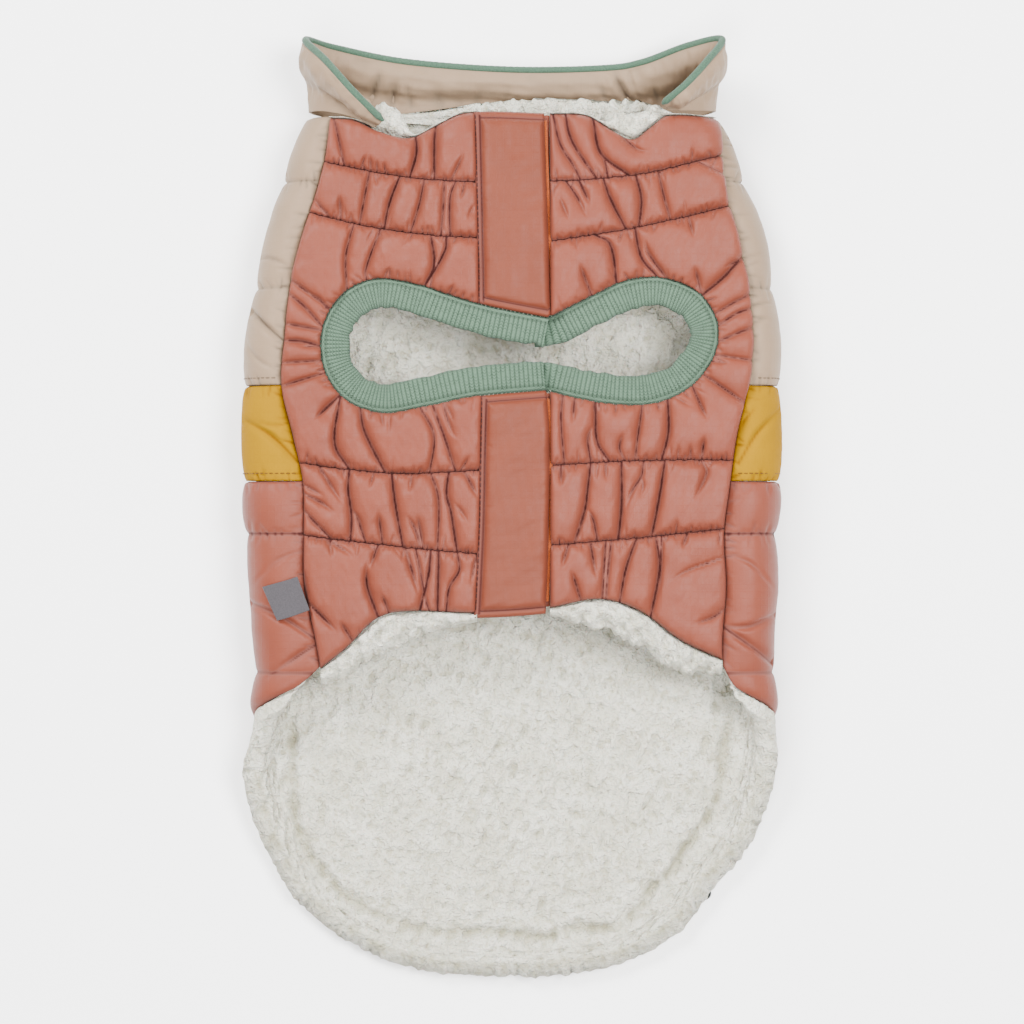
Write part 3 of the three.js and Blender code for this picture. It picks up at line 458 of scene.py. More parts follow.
def cloth_material(name, base, slope, deep, gloss=0.5, shine=1.0):
    """Fine plain-weave shell cloth, with painted shade: the slope colour is painted on crease flanks and the deep
    colour in creases and stitch grooves.
    """
    m = Nodes(name)
    painted_shade = m.add("ShaderNodeAttribute", attribute_name="painted_shade").outputs["Fac"]
    mottled = m.blend(m.span(m.noise(16, 4), 0.35, 0.65), tuple(c * 0.94 for c in base[:3]) + (1,), base)
    # Painted shade from the point attribute: slope colour on the flanks, deep colour in the creases.
    soft = m.blend(m.span(painted_shade, 0.0, 0.4), mottled, slope)
    colour = m.blend(m.span(painted_shade, 0.25, 1.0), soft, deep)
    xyz = m.add("ShaderNodeSeparateXYZ", {0: m.place}).outputs
    thread = 2 * math.pi / (0.55 * MM)
    weave = m.math("MULTIPLY", m.math("SINE", m.math("MULTIPLY", xyz[0], thread)),
                   m.math("SINE", m.math("MULTIPLY", xyz[1], thread)))
    grid = 2 * math.pi / (3.2 * MM)
    rip = m.math("MAXIMUM", m.math("COSINE", m.math("MULTIPLY", xyz[0], grid)),
                 m.math("COSINE", m.math("MULTIPLY", xyz[1], grid)))
    fine = m.bump(weave, 0.012)
    ripstop = m.bump(m.span(rip, 0.9, 1.0), 0.03, fine)
    normal = m.bump(m.noise(2.6, 3), 0.1, ripstop, 0.6)
    rough = m.math("ADD", m.math("MULTIPLY", m.noise(5, 2), 0.12), gloss - 0.06)
    rough = m.math("ADD", rough, m.math("MULTIPLY", painted_shade, 0.4))
    return m.finish(colour, rough, normal, sheen=0.02 * shine, specular=0.14 * shine)


def fleece_material(name):
    m = Nodes(name)
    painted_shade = m.add("ShaderNodeAttribute", attribute_name="painted_shade").outputs["Fac"]
    tufts, curls = m.noise(3.4, 3), m.noise(1.1, 4)
    base = m.blend(m.span(m.noise(14, 3), 0.3, 0.7), rgb(181, 178, 162), rgb(196, 194, 181))
    # Painted shade: darker between the tufts and curls, and darker still in the pile's hollows by the point attribute
    # of painted shade.
    shaded = m.blend(m.span(tufts, 0.5, 0.3), base, rgb(166, 162, 142))
    shaded = m.blend(m.span(curls, 0.46, 0.25), shaded, rgb(172, 168, 150))
    colour = m.blend(painted_shade, shaded, rgb(141, 137, 114))
    normal = m.bump(tufts, 3.2, m.bump(curls, 1.4, m.bump(m.noise(0.45, 2), 0.25)), 0.9)
    return m.finish(colour, 0.95, normal, sheen=0.12, subsurface=0.06, specular=0.08)


def knit_material(name, base, deep, pitch):
    """Ribs of V-shaped stitches. The cloth map's first axis runs across the ribs, its second along them."""
    m = Nodes(name)
    uv = m.add("ShaderNodeSeparateXYZ", {0: m.add("ShaderNodeUVMap", uv_map="cloth").outputs[0]}).outputs
    across = m.math("DIVIDE", uv[0], pitch * MM)
    half_way = m.math("ABSOLUTE", m.math("SUBTRACT", m.math("FRACT", across), 0.5))
    row = m.math("ADD", m.math("DIVIDE", uv[1], 1.35 * MM), m.math("MULTIPLY", half_way, 1.5))
    stitch = m.math("ABSOLUTE", m.math("SINE", m.math("MULTIPLY", row, math.pi)))
    painted_shade = m.add("ShaderNodeAttribute", attribute_name="painted_shade").outputs["Fac"]
    # Painted shade between the stitches; the deep colour is also painted in the grooves between ribs.
    painted_stitch_shade = m.blend(m.math("MULTIPLY", m.span(stitch, 0.0, 0.7), 1.0), deep, base)
    colour = m.blend(painted_shade, m.blend(m.span(m.noise(3, 3), 0.3, 0.7), painted_stitch_shade, base), deep)
    normal = m.bump(m.noise(0.35, 3), 0.12, m.bump(stitch, 0.22))
    return m.finish(colour, 0.92, normal, sheen=0.08, specular=0.1)


def plain_material(name, base, dark, size, rough, depth, sheen=0.1):
    m = Nodes(name)
    grain = m.noise(size, 3)
    colour = m.blend(m.span(grain, 0.3, 0.7), dark, base)
    return m.finish(colour, rough, m.bump(grain, depth), sheen=sheen, specular=0.25)


# Each cloth's second colour is painted shade for crease flanks, its third painted shade for creases and stitch grooves.
ROSE = cloth_material("rose_shell", rgb(101, 48, 34), rgb(97, 54, 45), rgb(45, 11, 8), 0.48, 1.15)
# A darker copy of the rose cloth for the flaps: painted shade.
ROSE_FLAP_SHADED = cloth_material("rose_flap_shaded_shell", rgb(93, 43, 28), rgb(88, 46, 37), rgb(44, 12, 9))
SAND = cloth_material("sand_shell", rgb(122, 102, 82), rgb(108, 92, 75), rgb(56, 43, 33))
MUSTARD = cloth_material("mustard_shell", rgb(128, 93, 0), rgb(112, 76, 0), rgb(62, 35, 0), 0.65, 0.15)
FLEECE_LOOK = fleece_material("curly_fleece")
SAGE = knit_material("sage_ribbing", rgb(74, 96, 79), rgb(30, 41, 32), RIB["pitch"])
CORD = plain_material("sage_binding", rgb(54, 79, 62), rgb(42, 64, 50), 0.7, 0.8, 0.15)
RUST = plain_material("rust_tape", rgb(140, 62, 14), rgb(96, 40, 12), 0.5, 0.9, 0.25)
GREY = plain_material("woven_label", rgb(57, 54, 57), rgb(50, 47, 50), 0.6, 0.85, 0.08)
BLACK = plain_material("black_stopper", rgb(14, 14, 15), rgb(10, 10, 11), 1.5, 0.4, 0.03, 0.0)
THREAD = plain_material("rose_thread", rgb(50, 15, 11), rgb(38, 11, 8), 0.3, 0.7, 0.05, 0.0)
GOLD_THREAD = plain_material("mustard_thread", rgb(86, 54, 0), rgb(70, 42, 0), 0.3, 0.7, 0.05, 0.0)
SAND_THREAD = plain_material("sand_thread", rgb(90, 73, 57), rgb(78, 62, 48), 0.3, 0.7, 0.05, 0.0)
SAGE_THREAD = plain_material("sage_thread", rgb(46, 62, 50), rgb(38, 50, 41), 0.3, 0.75, 0.05, 0.0)

# The leg opening


def outline(rows, count):
    return curve(rows)(np.linspace(0, 1, count))[0]


leg_left, leg_right = outline(SEW_LEFT, 300), outline(SEW_RIGHT, 260)
LEG_EDGE = np.concatenate([leg_left, leg_right[leg_right[:, 0] > SEW_LEFT[0][0] - 0.5]])


def in_leg(x, y):
    """Whether points of the plan lie inside the leg opening."""
    inside = np.zeros(np.shape(x), bool)
    ahead = np.roll(LEG_EDGE, -1, axis=0)
    for (ax, ay), (bx, by) in zip(LEG_EDGE, ahead):
        crosses = (ay > y) != (by > y)
        if crosses.any():
            at = ax + (y - ay) / (by - ay if by != ay else 1e-9) * (bx - ax)
            inside ^= crosses & (x < at)
    return inside


def leg_distance(x, y):
    nearest = np.full(np.shape(x), 1e9)
    for px, py in LEG_EDGE[::2]:
        nearest = np.minimum(nearest, (x - px) ** 2 + (y - py) ** 2)
    return np.sqrt(nearest)


def leg_top(x):
    top = LEG_EDGE[LEG_EDGE[:, 1] > 70]
    order = np.argsort(top[:, 0])
    return np.interp(x, top[order, 0], top[order, 1])


def leg_bottom(x):
    low = LEG_EDGE[LEG_EDGE[:, 1] < 66]
    order = np.argsort(low[:, 0])
    return np.interp(x, low[order, 0], low[order, 1])


def cut_wall(name, x, y, outer_depth, inner_depth, material, painted_shade_map=None, cut=True):
    """A closed panel on the laid tube's upper half, from a plan grid with an even number of cells each way,
    with the leg opening cut out of it. Its inner face has every second point."""
    rows, columns = x.shape
    block_x, block_y = x[1::2, 1::2], y[1::2, 1::2]
    keep = ~in_leg(block_x, block_y) if cut else np.ones(block_x.shape, bool)
    fine = np.repeat(np.repeat(keep, 2, axis=0), 2, axis=1)
    x, y = x.copy(), y.copy()
    padded_keep = np.pad(fine, 1, constant_values=False)
    touching = sum(padded_keep[a:a + rows, b:b + columns].astype(int) for a in (0, 1) for b in (0, 1))
    rim = (touching > 0) & (touching < 4)
    rim[0] = rim[-1] = rim[:, 0] = rim[:, -1] = False
    if rim.any():
        shift = np.zeros((rows, columns, 2))
        at = np.stack([x[rim], y[rim]], axis=-1)
        ring = curve_points(LEG_EDGE, 0.25)
        nearest = np.array([ring[np.argmin(((ring - p) ** 2).sum(axis=1))] for p in at])
        pinned = nearest - at
        shift[rim] = pinned
        inner_area = np.zeros((rows, columns), bool)
        inner_area[1:-1, 1:-1] = True
        for _ in range(8):
            spread = (np.roll(shift, 1, 0) + np.roll(shift, -1, 0) + np.roll(shift, 1, 1) + np.roll(shift, -1, 1)) / 4
            shift = np.where(inner_area[..., None], spread, 0)
            shift[rim] = pinned
        x, y = x + shift[..., 0], y + shift[..., 1]
    outer = face_point(x, y, outer_depth)
    inner = face_point(x, y, inner_depth)
    index = np.arange(rows * columns).reshape(rows, columns)
    a, b, c, d = index[:-1, :-1], index[:-1, 1:], index[1:, 1:], index[1:, :-1]
    top = np.stack([a, d, c, b], axis=-1)[fine]
    low_index = rows * columns + index
    a, b, c, d = (low_index[r, k] for r, k in
                  ((np.s_[:-1:2], np.s_[:-1:2]), (np.s_[:-1:2], np.s_[2::2]), (np.s_[2::2], np.s_[2::2]),
                   (np.s_[2::2], np.s_[:-1:2])))
    low = np.stack([a, b, c, d], axis=-1)[keep]
    kept = np.pad(keep, 1, constant_values=False)
    sides = []
    for dr, dc, first, middle, last in ((-1, 0, (0, 0), (0, 1), (0, 2)), (0, 1, (0, 2), (1, 2), (2, 2)),
                                        (1, 0, (2, 2), (2, 1), (2, 0)), (0, -1, (2, 0), (1, 0), (0, 0))):
        open_side = keep & ~kept[1 + dr:kept.shape[0] - 1 + dr, 1 + dc:kept.shape[1] - 1 + dc]
        r, k = np.nonzero(open_side)
        p, q, s = (index[2 * r + e[0], 2 * k + e[1]] for e in (first, middle, last))
        p_low, s_low = low_index[2 * r + first[0], 2 * k + first[1]], low_index[2 * r + last[0], 2 * k + last[1]]
        sides += [np.stack([p, q, p_low], -1), np.stack([q, s, s_low], -1), np.stack([q, s_low, p_low], -1)]
    faces = [top, low, np.concatenate(sides)]
    points = np.concatenate([outer.reshape(-1, 3), inner.reshape(-1, 3)])
    used = np.unique(np.concatenate([f.ravel() for f in faces]))
    renumber = np.zeros(len(points), int)
    renumber[used] = np.arange(len(used))
    shade = None
    if painted_shade_map is not None:
        shade = np.concatenate([painted_shade_map.ravel(), np.zeros(rows * columns)])[used]
    return make(name, points[used], [renumber[f] for f in faces], material, painted_shade_map=shade)


def curve_points(points, spacing):
    """A closed line of points again, at even small steps."""
    closed = np.concatenate([points, points[:1]])
    length = np.concatenate([[0], np.cumsum(np.linalg.norm(np.diff(closed, axis=0), axis=1))])
    at = np.arange(0, length[-1], spacing)
    return np.stack([np.interp(at, length, closed[:, k]) for k in (0, 1)], axis=-1)


# The belly's gathered panels


def belly_lines(side):
    middle = FLAP["left"] if side < 0 else FLAP["right"]

    def between(row):
        seam_x = side * seam_at(side, row["seam"])

        def line(x):
            share = np.clip((x - middle) / (seam_x - middle), 0, 1)
            return lerp(row["middle"], row["seam"], share) - row["sag"] * np.sin(np.pi * share)

        return line

    return [neckline_at] + [between(row) for row in BELLY_LINES[side]] + [hemline_at]


# The flaps' edges: Y, the left edge, the stitch line beside it, and the free edge.
FLAP_EDGES = {
    "chest": [(178, -16.7, -13.7, 15.0), (140, -15.6, -12.8, 16.2), (110, -14.9, -12.2, 17.3), (82, -14.6, -11.7, 17.9)],
    "tummy": [(56, -13.4, -10.2, 15.4), (34, -13.8, -11, 17.3), (-10, -14.6, -12, 17.1), (-52, -16.6, -14, 15.6)],
}


def panel_middle(side, y):
    """A belly panel's edge at the closure: the left one ends just under the flaps, the right one beside them."""
    if side > 0:
        return PANEL_EDGE + 0 * y
    rows = FLAP_EDGES["chest"] + FLAP_EDGES["tummy"]
    return through([row[0] for row in rows], [row[1] for row in rows])(y) + 0.9


def belly_plan(side, rows, columns):
    """Plan grids of a belly panel, with so many rows in each baffle, and the row of each stitch line."""
    lines = belly_lines(side)
    share = np.linspace(0, 1, columns + 1)
    x_rows, y_rows, starts = [], [], []
    for index, count in enumerate(rows):
        starts.append(len(x_rows))
        last = count if index < len(rows) - 1 else count + 1
        for step in range(last):
            v = step / count
            edge = side * seam_at(side, 0)
            for _ in range(4):
                edge = side * (seam_at(side, lerp(lines[index](edge), lines[index + 1](edge), v)) - 0.05)
            middle = panel_middle(side, lerp(lines[index](-14.0 * -side), lines[index + 1](-14.0 * -side), v))
            x = lerp(middle, edge, share)
            x_rows.append(x)
            uneven = [waves(x, 0 * x + 50 * k, 5, 131 + side, 2) * 0.3 * (k in (1, 2, 4, 5)) for k in (index, index + 1)]
            y_rows.append(lerp(lines[index](x) + uneven[0], lines[index + 1](x) + uneven[1], v))
    return np.array(x_rows), np.array(y_rows), starts


def crease_map(x, y, creases):
    """How firmly the cloth is held down along each crease. A crease has a strength, a line, a width, and
    how far it fades out towards its start and its end."""
    held = np.zeros(x.shape)
    for strength, line, width, fades in creases:
        line = np.asarray(line, float)
        count = max(int(np.linalg.norm(np.diff(line, axis=0), axis=1).sum() / 0.5), 3)
        points = curve(line)(np.linspace(0, 1, count))[0] if len(line) > 2 else np.linspace(line[0], line[1], count)
        low, high = points.min(axis=0) - 3 * width, points.max(axis=0) + 3 * width
        window = (x > low[0]) & (x < high[0]) & (y > low[1]) & (y < high[1])
        if not window.any():
            continue
        wx, wy = x[window], y[window]
        share = np.linspace(0, 1, count)
        start, end = fades
        firm = strength * (1 - start * smooth(share, 0.45, 0)) * (1 - end * smooth(share, 0.4, 1))
        best = np.zeros(wx.shape)
        for (px, py), f in zip(points, firm):
            best = np.maximum(best, f * np.exp(-((wx - px) ** 2 + (wy - py) ** 2) / (width * (0.6 + 0.4 * f)) ** 2))
        held[window] = np.maximum(held[window], best)
    return held


def inflate(fixed, held, sweeps=260, over=1.86):
    """Rounded pillows: a skin blown up between points that are fixed at zero, held down along creases."""
    height = np.zeros(fixed.shape)
    r, c = np.indices(fixed.shape)
    free = ~fixed
    free[0] = free[-1] = free[:, 0] = free[:, -1] = False
    colours = [free & ((r + c) % 2 == parity) for parity in (0, 1)]
    drag = 4 + held
    for _ in range(sweeps):
        for colour in colours:
            around = np.zeros(fixed.shape)
            around[1:-1, 1:-1] = (height[:-2, 1:-1] + height[2:, 1:-1] + height[1:-1, :-2] + height[1:-1, 2:])
            settled = (around + 1) / drag
            height = np.where(colour, height + over * (settled - height), height)
    return np.sqrt(np.maximum(2 * height, 0))


def belly_panel(side):
    rng = jitter(7 if side < 0 else 11)
    lines = belly_lines(side)
    mid_x = side * 58
    heights = [float(lines[i](mid_x) - lines[i + 1](mid_x)) for i in range(len(lines) - 1)]
    rows = [max(2 * round(h / CELL / 2), 8) for h in heights]
    columns = 2 * round((abs(side * 98) - 16) / CELL / 2)
    x, y, starts = belly_plan(side, rows, columns)
    sewn = [starts[i + 1] for i in SEWN_LINES]
    creases = []
    for depth, line in CREASES[side]:
        line = np.array(line, float)
        fades = []
        for end in (0, -1):
            gaps = [float(lines[k](line[end, 0])) - line[end, 1] for k in (0, 1, 2, 4, 5, 6)]
            near = min(gaps, key=abs)
            to_leg = np.linalg.norm(LEG_EDGE - line[end], axis=1)
            to_seam = side * float(seam_at(side, line[end, 1])) - line[end, 0]
            if to_leg.min() < 7:
                line[end] = LEG_EDGE[to_leg.argmin()]
            elif abs(near) < 5.5:
                line[end, 1] += near
            elif abs(to_seam) < 9:
                line[end, 0] += to_seam
            fades.append(0.1 if min(to_leg.min() - 1.5, abs(near), abs(to_seam) - 3.5) < 5.5 else 1.0)
        creases.append(((0.4 + 0.6 * depth) * (1 - 0.35 * min(fades)), line, 1.0, fades))
    for line_row in [0] + sewn + [x.shape[0] - 1]:
        for way in (1, -1):
            at = 1.5
            while at < abs(x[line_row, -1] - x[line_row, 0]) - 1.5:
                place = int(at / abs(x[line_row, -1] - x[line_row, 0]) * columns)
                px, py = x[line_row, place], y[line_row, place]
                edge_row = line_row in (0, x.shape[0] - 1)
                reach = rng.uniform(1.5, 4.2) * (2.2 if rng.random() < 0.16 else 1)
                lean = rng.normal(0, 0.25)
                end = (px + reach * lean, py + way * reach)
                firm = rng.uniform(0.2, 0.62) * (0.4 if edge_row else 1)
                creases.append((firm, [(px, py), end], 0.75, (0, 1)))
                at += rng.uniform(1.1, 2.9) * (2.2 if edge_row else 1)
    gap = np.linalg.norm(np.diff(LEG_EDGE, axis=0), axis=1)
    at = 0
    while at < len(gap) - 4:
        (px, py), (qx, qy) = LEG_EDGE[at], LEG_EDGE[at + 1]
        out = np.array([py - qy, qx - px]) / max(math.hypot(qx - px, qy - py), 1e-6)
        out *= 1 if not in_leg(np.array([px + out[0]]), np.array([py + out[1]]))[0] else -1
        reach = rng.uniform(2, 5.5) * (2.2 if rng.random() < 0.22 else 1)
        lean = rng.normal(0, 0.3)
        end = (px + reach * (out[0] - lean * out[1]), py + reach * (out[1] + lean * out[0]))
        creases.append((rng.uniform(0.2, 0.65), [(px, py), end], 0.75, (0, 1)))
        at += max(int(rng.uniform(2.2, 6) / gap[at]), 1)
    outside = in_leg(x, y)
    fixed = outside.copy()
    fixed[sewn] = True
    fixed[0] = fixed[-1] = fixed[:, 0] = fixed[:, -1] = True
    def along_creases(wide):
        return crease_map(x, y, [(firm, line, wide * size, fades) for firm, line, size, fades in creases])

    dent, lip, thin = along_creases(0.78), along_creases(1.9), along_creases(0.54)
    root = inflate(fixed, 0.6 * lip) * CELL
    height = BELLY_PUFF * (1 - np.exp(-root / 2.6))
    ripple = waves(x * 1.0, y * 0.3, 5.5, 21 + side) * 0.16 + waves(x, y, 15, 31 + side) * 0.35
    raised = 0.3 * np.maximum(lip - dent, 0) + ripple
    height = np.maximum(height * (1 - 0.62 * dent) + raised * np.clip(height / 3, 0, 1), 0)
    # Painted shade: soft darkening low between the pillows, dark lines in the creases, full shade along the stitch
    # lines, less by the side seam.
    broken = np.clip(0.95 + 0.55 * waves(x, y, 6.5, 141 + side, 2), 0.35, 1.25)
    painted_shade = np.clip(1 - height / 4.4, 0, 1) * 0.32 + 0.04 * dent + 1.25 * thin**1.1 * broken
    painted_shade[:, -4:] *= 0.5
    painted_shade[sewn] = 1
    painted_shade = np.clip(painted_shade, 0, 1)
    name = "belly_left" if side < 0 else "belly_right"
    piece = cut_wall(name + "_cloth", x, y, -height, SHELL, ROSE, painted_shade_map=painted_shade)
    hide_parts(name)
    seams = []
    for row in sewn:
        line = face_point(x[row], y[row], -0.25)
        away = ~in_leg(x[row], y[row])
        seams.append(line[away])
    return piece, seams


PANEL_EDGE = FLAP["right"] + 0.8
# The belly's main creases: how deep each is, and points of it in the plan.
CREASES = {
    LEFT: [
        (1.0, [(-42.5, 167), (-42, 158), (-45, 150.5)]),
        (1.0, [(-33.5, 173.5), (-34, 162.5), (-34, 150.5)]),
        (0.6, [(-79, 169), (-74.5, 153.5)]),
        (0.3, [(-62.5, 152), (-63, 157)]),
        (0.3, [(-20.5, 158), (-26.5, 146.5)]),
        (0.3, [(-76.5, 140), (-76, 128.5)]),
        (0.6, [(-63, 148), (-67.5, 130)]),
        (1.0, [(-49.5, 146), (-54, 135.5), (-56.5, 125.5)]),
        (0.6, [(-38.5, 146), (-40.5, 135.5), (-44.5, 124)]),
        (0.6, [(-29.5, 144.5), (-30, 132.5), (-31, 124)]),
        (0.6, [(-24.5, 144.5), (-27, 137), (-27, 124)]),
        (0.3, [(-80.5, 137.5), (-81, 131)]),
        (0.3, [(-16, 134.5), (-19.5, 126.5)]),
        (0.6, [(-70, 124), (-73.5, 112), (-73.5, 97)]),
        (0.6, [(-58, 124), (-64.5, 106), (-65, 101.5)]),
        (0.3, [(-45, 123.5), (-45, 116.5)]),
        (1.0, [(-28.5, 119), (-29.5, 113), (-37.5, 99.5)]),
        (1.0, [(-35.5, 121), (-34, 107.5), (-38.5, 98.5)]),
        (0.3, [(-26.5, 101), (-24, 95)]),
        (0.6, [(-88, 95), (-81, 88)]),
        (0.6, [(-94.5, 81.5), (-85, 78.5)]),
        (1.0, [(-78.5, 47), (-78.5, 28), (-72, 18)]),
        (1.0, [(-67.5, 42.5), (-65, 33), (-56, 16.5)]),
        (0.6, [(-40.5, 43), (-34, 31.5), (-36, 19.5)]),
        (0.8, [(-34, 43), (-30.2, 32.7), (-27.2, 23.7), (-24.5, 15)]),
        (0.4, [(-28.7, 40), (-26.4, 33.7), (-22.7, 29.2)]),
        (0.6, [(-101.5, 33), (-96.5, 21.5)]),
        (1.0, [(-72, 16.5), (-72.5, 7), (-71, -4.5), (-71.5, -13)]),
        (1.0, [(-53, 14.5), (-51.5, 2), (-48, -18.5)]),
        (0.6, [(-59, -2), (-57, -17)]),
        (0.6, [(-35.5, 13), (-32, 3), (-32.5, -18.5)]),
        (1.0, [(-27.5, 13), (-28.5, 5), (-26.5, -3), (-23.7, -18.5)]),
        (0.6, [(-20.5, 13), (-14, 2.5)]),
        (0.3, [(-44, 10.5), (-45, 5.5)]),
        (0.6, [(-41.5, -3), (-39, -19.5)]),
        (0.3, [(-89, 9.5), (-82.5, 4)]),
        (0.6, [(-90, -2), (-80.5, -13)]),
        (0.3, [(-81, -14.5), (-79.5, -23.5)]),
        (1.0, [(-64, -23.5), (-64, -35.5), (-59, -49.5)]),
        (0.6, [(-59, -18.5), (-63, -28.5)]),
        (0.6, [(-47, -19.5), (-44, -28.5), (-40.5, -41)]),
        (1.0, [(-35.5, -20.5), (-36.5, -30.5), (-40.5, -47)]),
        (1.0, [(-32, -22), (-32.5, -48)]),
        (0.7, [(-23.6, -21), (-22.9, -28.8), (-27.2, -36.3), (-28.7, -43.7)]),
        (0.3, [(-15, -23.5), (-18, -37)]),
        (1.0, [(-90, -43), (-75.5, -58)]),
        (0.6, [(-76.5, -51), (-70.5, -59.5)]),
        (0.6, [(-94, -30.5), (-85.5, -49.5)]),
        (0.7, [(-99, 95), (-92, 89), (-84, 80)]),
        (0.9, [(-101, 74), (-93, 73.5), (-85, 71)]),
        (0.5, [(-96.5, 53.5), (-84.5, 58.5)]),
        (0.9, [(-88, 38), (-83, 43), (-77, 48.5)]),
        (0.5, [(-91, 101), (-80, 88)]),
        (0.4, [(-99, 64), (-85, 64.5)]),
        (0.7, [(-71.5, -0.3), (-68.6, -4.8), (-64.7, -15)]),
        (0.5, [(-25.9, 2.7), (-21.3, -3.3), (-17.6, -9.3)]),
        (0.5, [(-92, 5.5), (-84.4, 1.4), (-77, -4)]),
        (0.5, [(-85.7, 14), (-78.2, 5.9), (-73.7, -0.3)]),
        (0.5, [(-46.7, -3.2), (-42.2, -10.8), (-40, -17)]),
        (0.6, [(-42.2, -22), (-39.4, -33.3), (-37.7, -42.3), (-36.2, -47.5)]),
        (0.4, [(-82.7, -16), (-73.7, -20), (-68.6, -24)]),
        (0.5, [(-57.4, -39.2), (-54.2, -46.8)]),
    ],
    RIGHT: [
        (1.0, [(24.5, 174.5), (27.5, 163), (38.5, 148.5)]),
        (1.0, [(37, 173.5), (40.5, 157.5), (53, 148.5)]),
        (0.3, [(89, 159), (78, 152)]),
        (0.6, [(21.5, 139), (26.5, 126)]),
        (1.0, [(30.5, 143), (36, 133.5)]),
        (1.0, [(41.5, 146), (44.5, 137.5), (51.5, 128.5)]),
        (1.0, [(56, 144.5), (58.5, 137.5), (57.5, 127.5)]),
        (0.6, [(66, 148.5), (68.5, 139), (71.5, 132.5)]),
        (0.3, [(83.5, 152), (87.5, 148.5)]),
        (1.0, [(37.5, 123.5), (44.5, 116.5), (46, 103.5)]),
        (1.0, [(55.5, 122), (58.5, 111), (66, 103.5)]),
        (0.6, [(30.5, 108.5), (34.5, 98)]),
        (0.3, [(79.5, 126), (82, 119)]),
        (0.6, [(103.5, 111), (95, 106)]),
        (0.6, [(22.5, 45.5), (22.5, 38), (24, 19)]),
        (0.6, [(28.5, 46.5), (27.5, 35.5)]),
        (1.0, [(37.5, 44), (38.5, 29), (44, 19)]),
        (0.7, [(59.5, 42), (56.8, 31.2), (55.5, 21)]),
        (1.0, [(71.5, 44), (70.5, 33), (67.5, 21.5)]),
        (0.6, [(86.5, 31.5), (85.5, 23)]),
        (0.6, [(22.5, 16), (22.5, 7.5)]),
        (0.9, [(35.8, 17), (34.3, 7.2), (33, -2), (28.5, -13)]),
        (0.3, [(42.5, 16), (42.5, 10.5)]),
        (1.0, [(49.5, 17), (49.5, 0.5), (48, -12)]),
        (0.6, [(58, 14.5), (59, 9), (57, 2.5)]),
        (1.0, [(69, 17), (66.5, 4.5), (63, -11)]),
        (0.3, [(85, 19), (87.5, 14.5), (80.5, 0.5)]),
        (0.6, [(27, -28), (31.5, -40.5)]),
        (0.6, [(35.5, -18), (38.5, -33.5)]),
        (0.6, [(42.5, -16.5), (41, -40.5)]),
        (0.6, [(45, -15), (43.5, -28), (42.5, -40.5)]),
        (0.9, [(56.3, -16.5), (51.5, -28), (48.6, -40.5)]),
        (1.0, [(65, -15), (66.5, -28), (62.5, -47)]),
        (0.6, [(67.5, -13.5), (66.5, -42)]),
        (0.6, [(79, -11), (76.5, -19.5)]),
        (1.0, [(103.5, 112), (96, 103), (87, 95)]),
        (0.7, [(108, 88.5), (101, 86), (92, 80.5)]),
        (0.5, [(103, 95), (91, 86)]),
        (0.6, [(102, 80), (92, 74)]),
        (0.5, [(82, 108), (86, 95)]),
        (0.6, [(97.5, 46), (88, 57)]),
        (0.7, [(88, 38), (83, 52)]),
        (0.4, [(103, 65), (92, 67)]),
        (0.8, [(18.9, 173), (22.3, 161.6), (28.1, 152.1), (31.3, 147.5)]),
        (0.7, [(40.8, 157.5), (42.5, 153), (43.6, 148.5)]),
        (0.4, [(50, 162), (56.9, 159.5), (63, 158.5)]),
        (0.6, [(24.5, 144.5), (29.8, 137.7), (34.3, 127.3)]),
        (0.7, [(59.6, 119.7), (61.9, 112.2), (70.3, 104)]),
        (0.6, [(37, 37), (34.5, 30), (35.8, 20)]),
        (0.5, [(50.2, 33), (48.6, 26), (51, 20)]),
        (0.6, [(33.5, 0), (36.8, -6.3), (38.8, -13)]),
        (0.6, [(59.5, 19), (58.3, 13.2), (53.8, 5.9), (50.3, -4)]),
        (0.5, [(25.9, -17), (22.3, -28.8)]),
        (0.35, [(88.3, -22.8), (76.3, -30.2), (68.6, -37.8)]),
        (0.6, [(99, -46), (90, -50), (80, -53)]),
    ],
}

belly_left, seams_left = belly_panel(LEFT)
belly_right, seams_right = belly_panel(RIGHT)

# The back: sections across the tube, then sections that fan round the tail


def tube_rows(side, y):
    y = np.asarray(y, float)
    half = high_at(y) / 2
    reach = reach_at(side, y) - half
    over = reach - way_out(seam_at(side, y), y, side) - 0.05
    hem = y < HEM_EDGE[0]["y"]
    edge = half * np.radians(np.where(hem, wrap_down(y), 180)) + over * np.where(hem, over_down(y), 1)
    return dict(foot=y, ox=np.full(y.shape, float(side)), oy=np.zeros(y.shape), half=half, flat=reach, edge=edge)


def tail_rows(side, turn):
    turn = np.asarray(turn, float)
    half = high_at(TAIL_CENTRE) / 2
    tube_reach = reach_at(side, TAIL_CENTRE) - half
    wrap = np.radians(tail_wrap(turn))
    fleece = half - LINING_IN
    shown = fleece * np.sin(np.minimum(wrap, math.pi / 2)) + FLEECE_PAST * np.maximum(np.cos(wrap), 0)
    reach = tail_left(turn) if side < 0 else tail_right(turn)
    flat = lerp(tube_reach, reach - shown, smooth(turn, 0, 12))
    angle = np.radians(turn)
    full = np.full(turn.shape, 1.0)
    return dict(foot=TAIL_CENTRE * full, ox=side * np.cos(angle), oy=-np.sin(angle), half=half * full, flat=flat,
                edge=half * wrap)


def join_rows(*parts):
    return {key: np.concatenate([part[key] for part in parts]) for key in parts[0]}


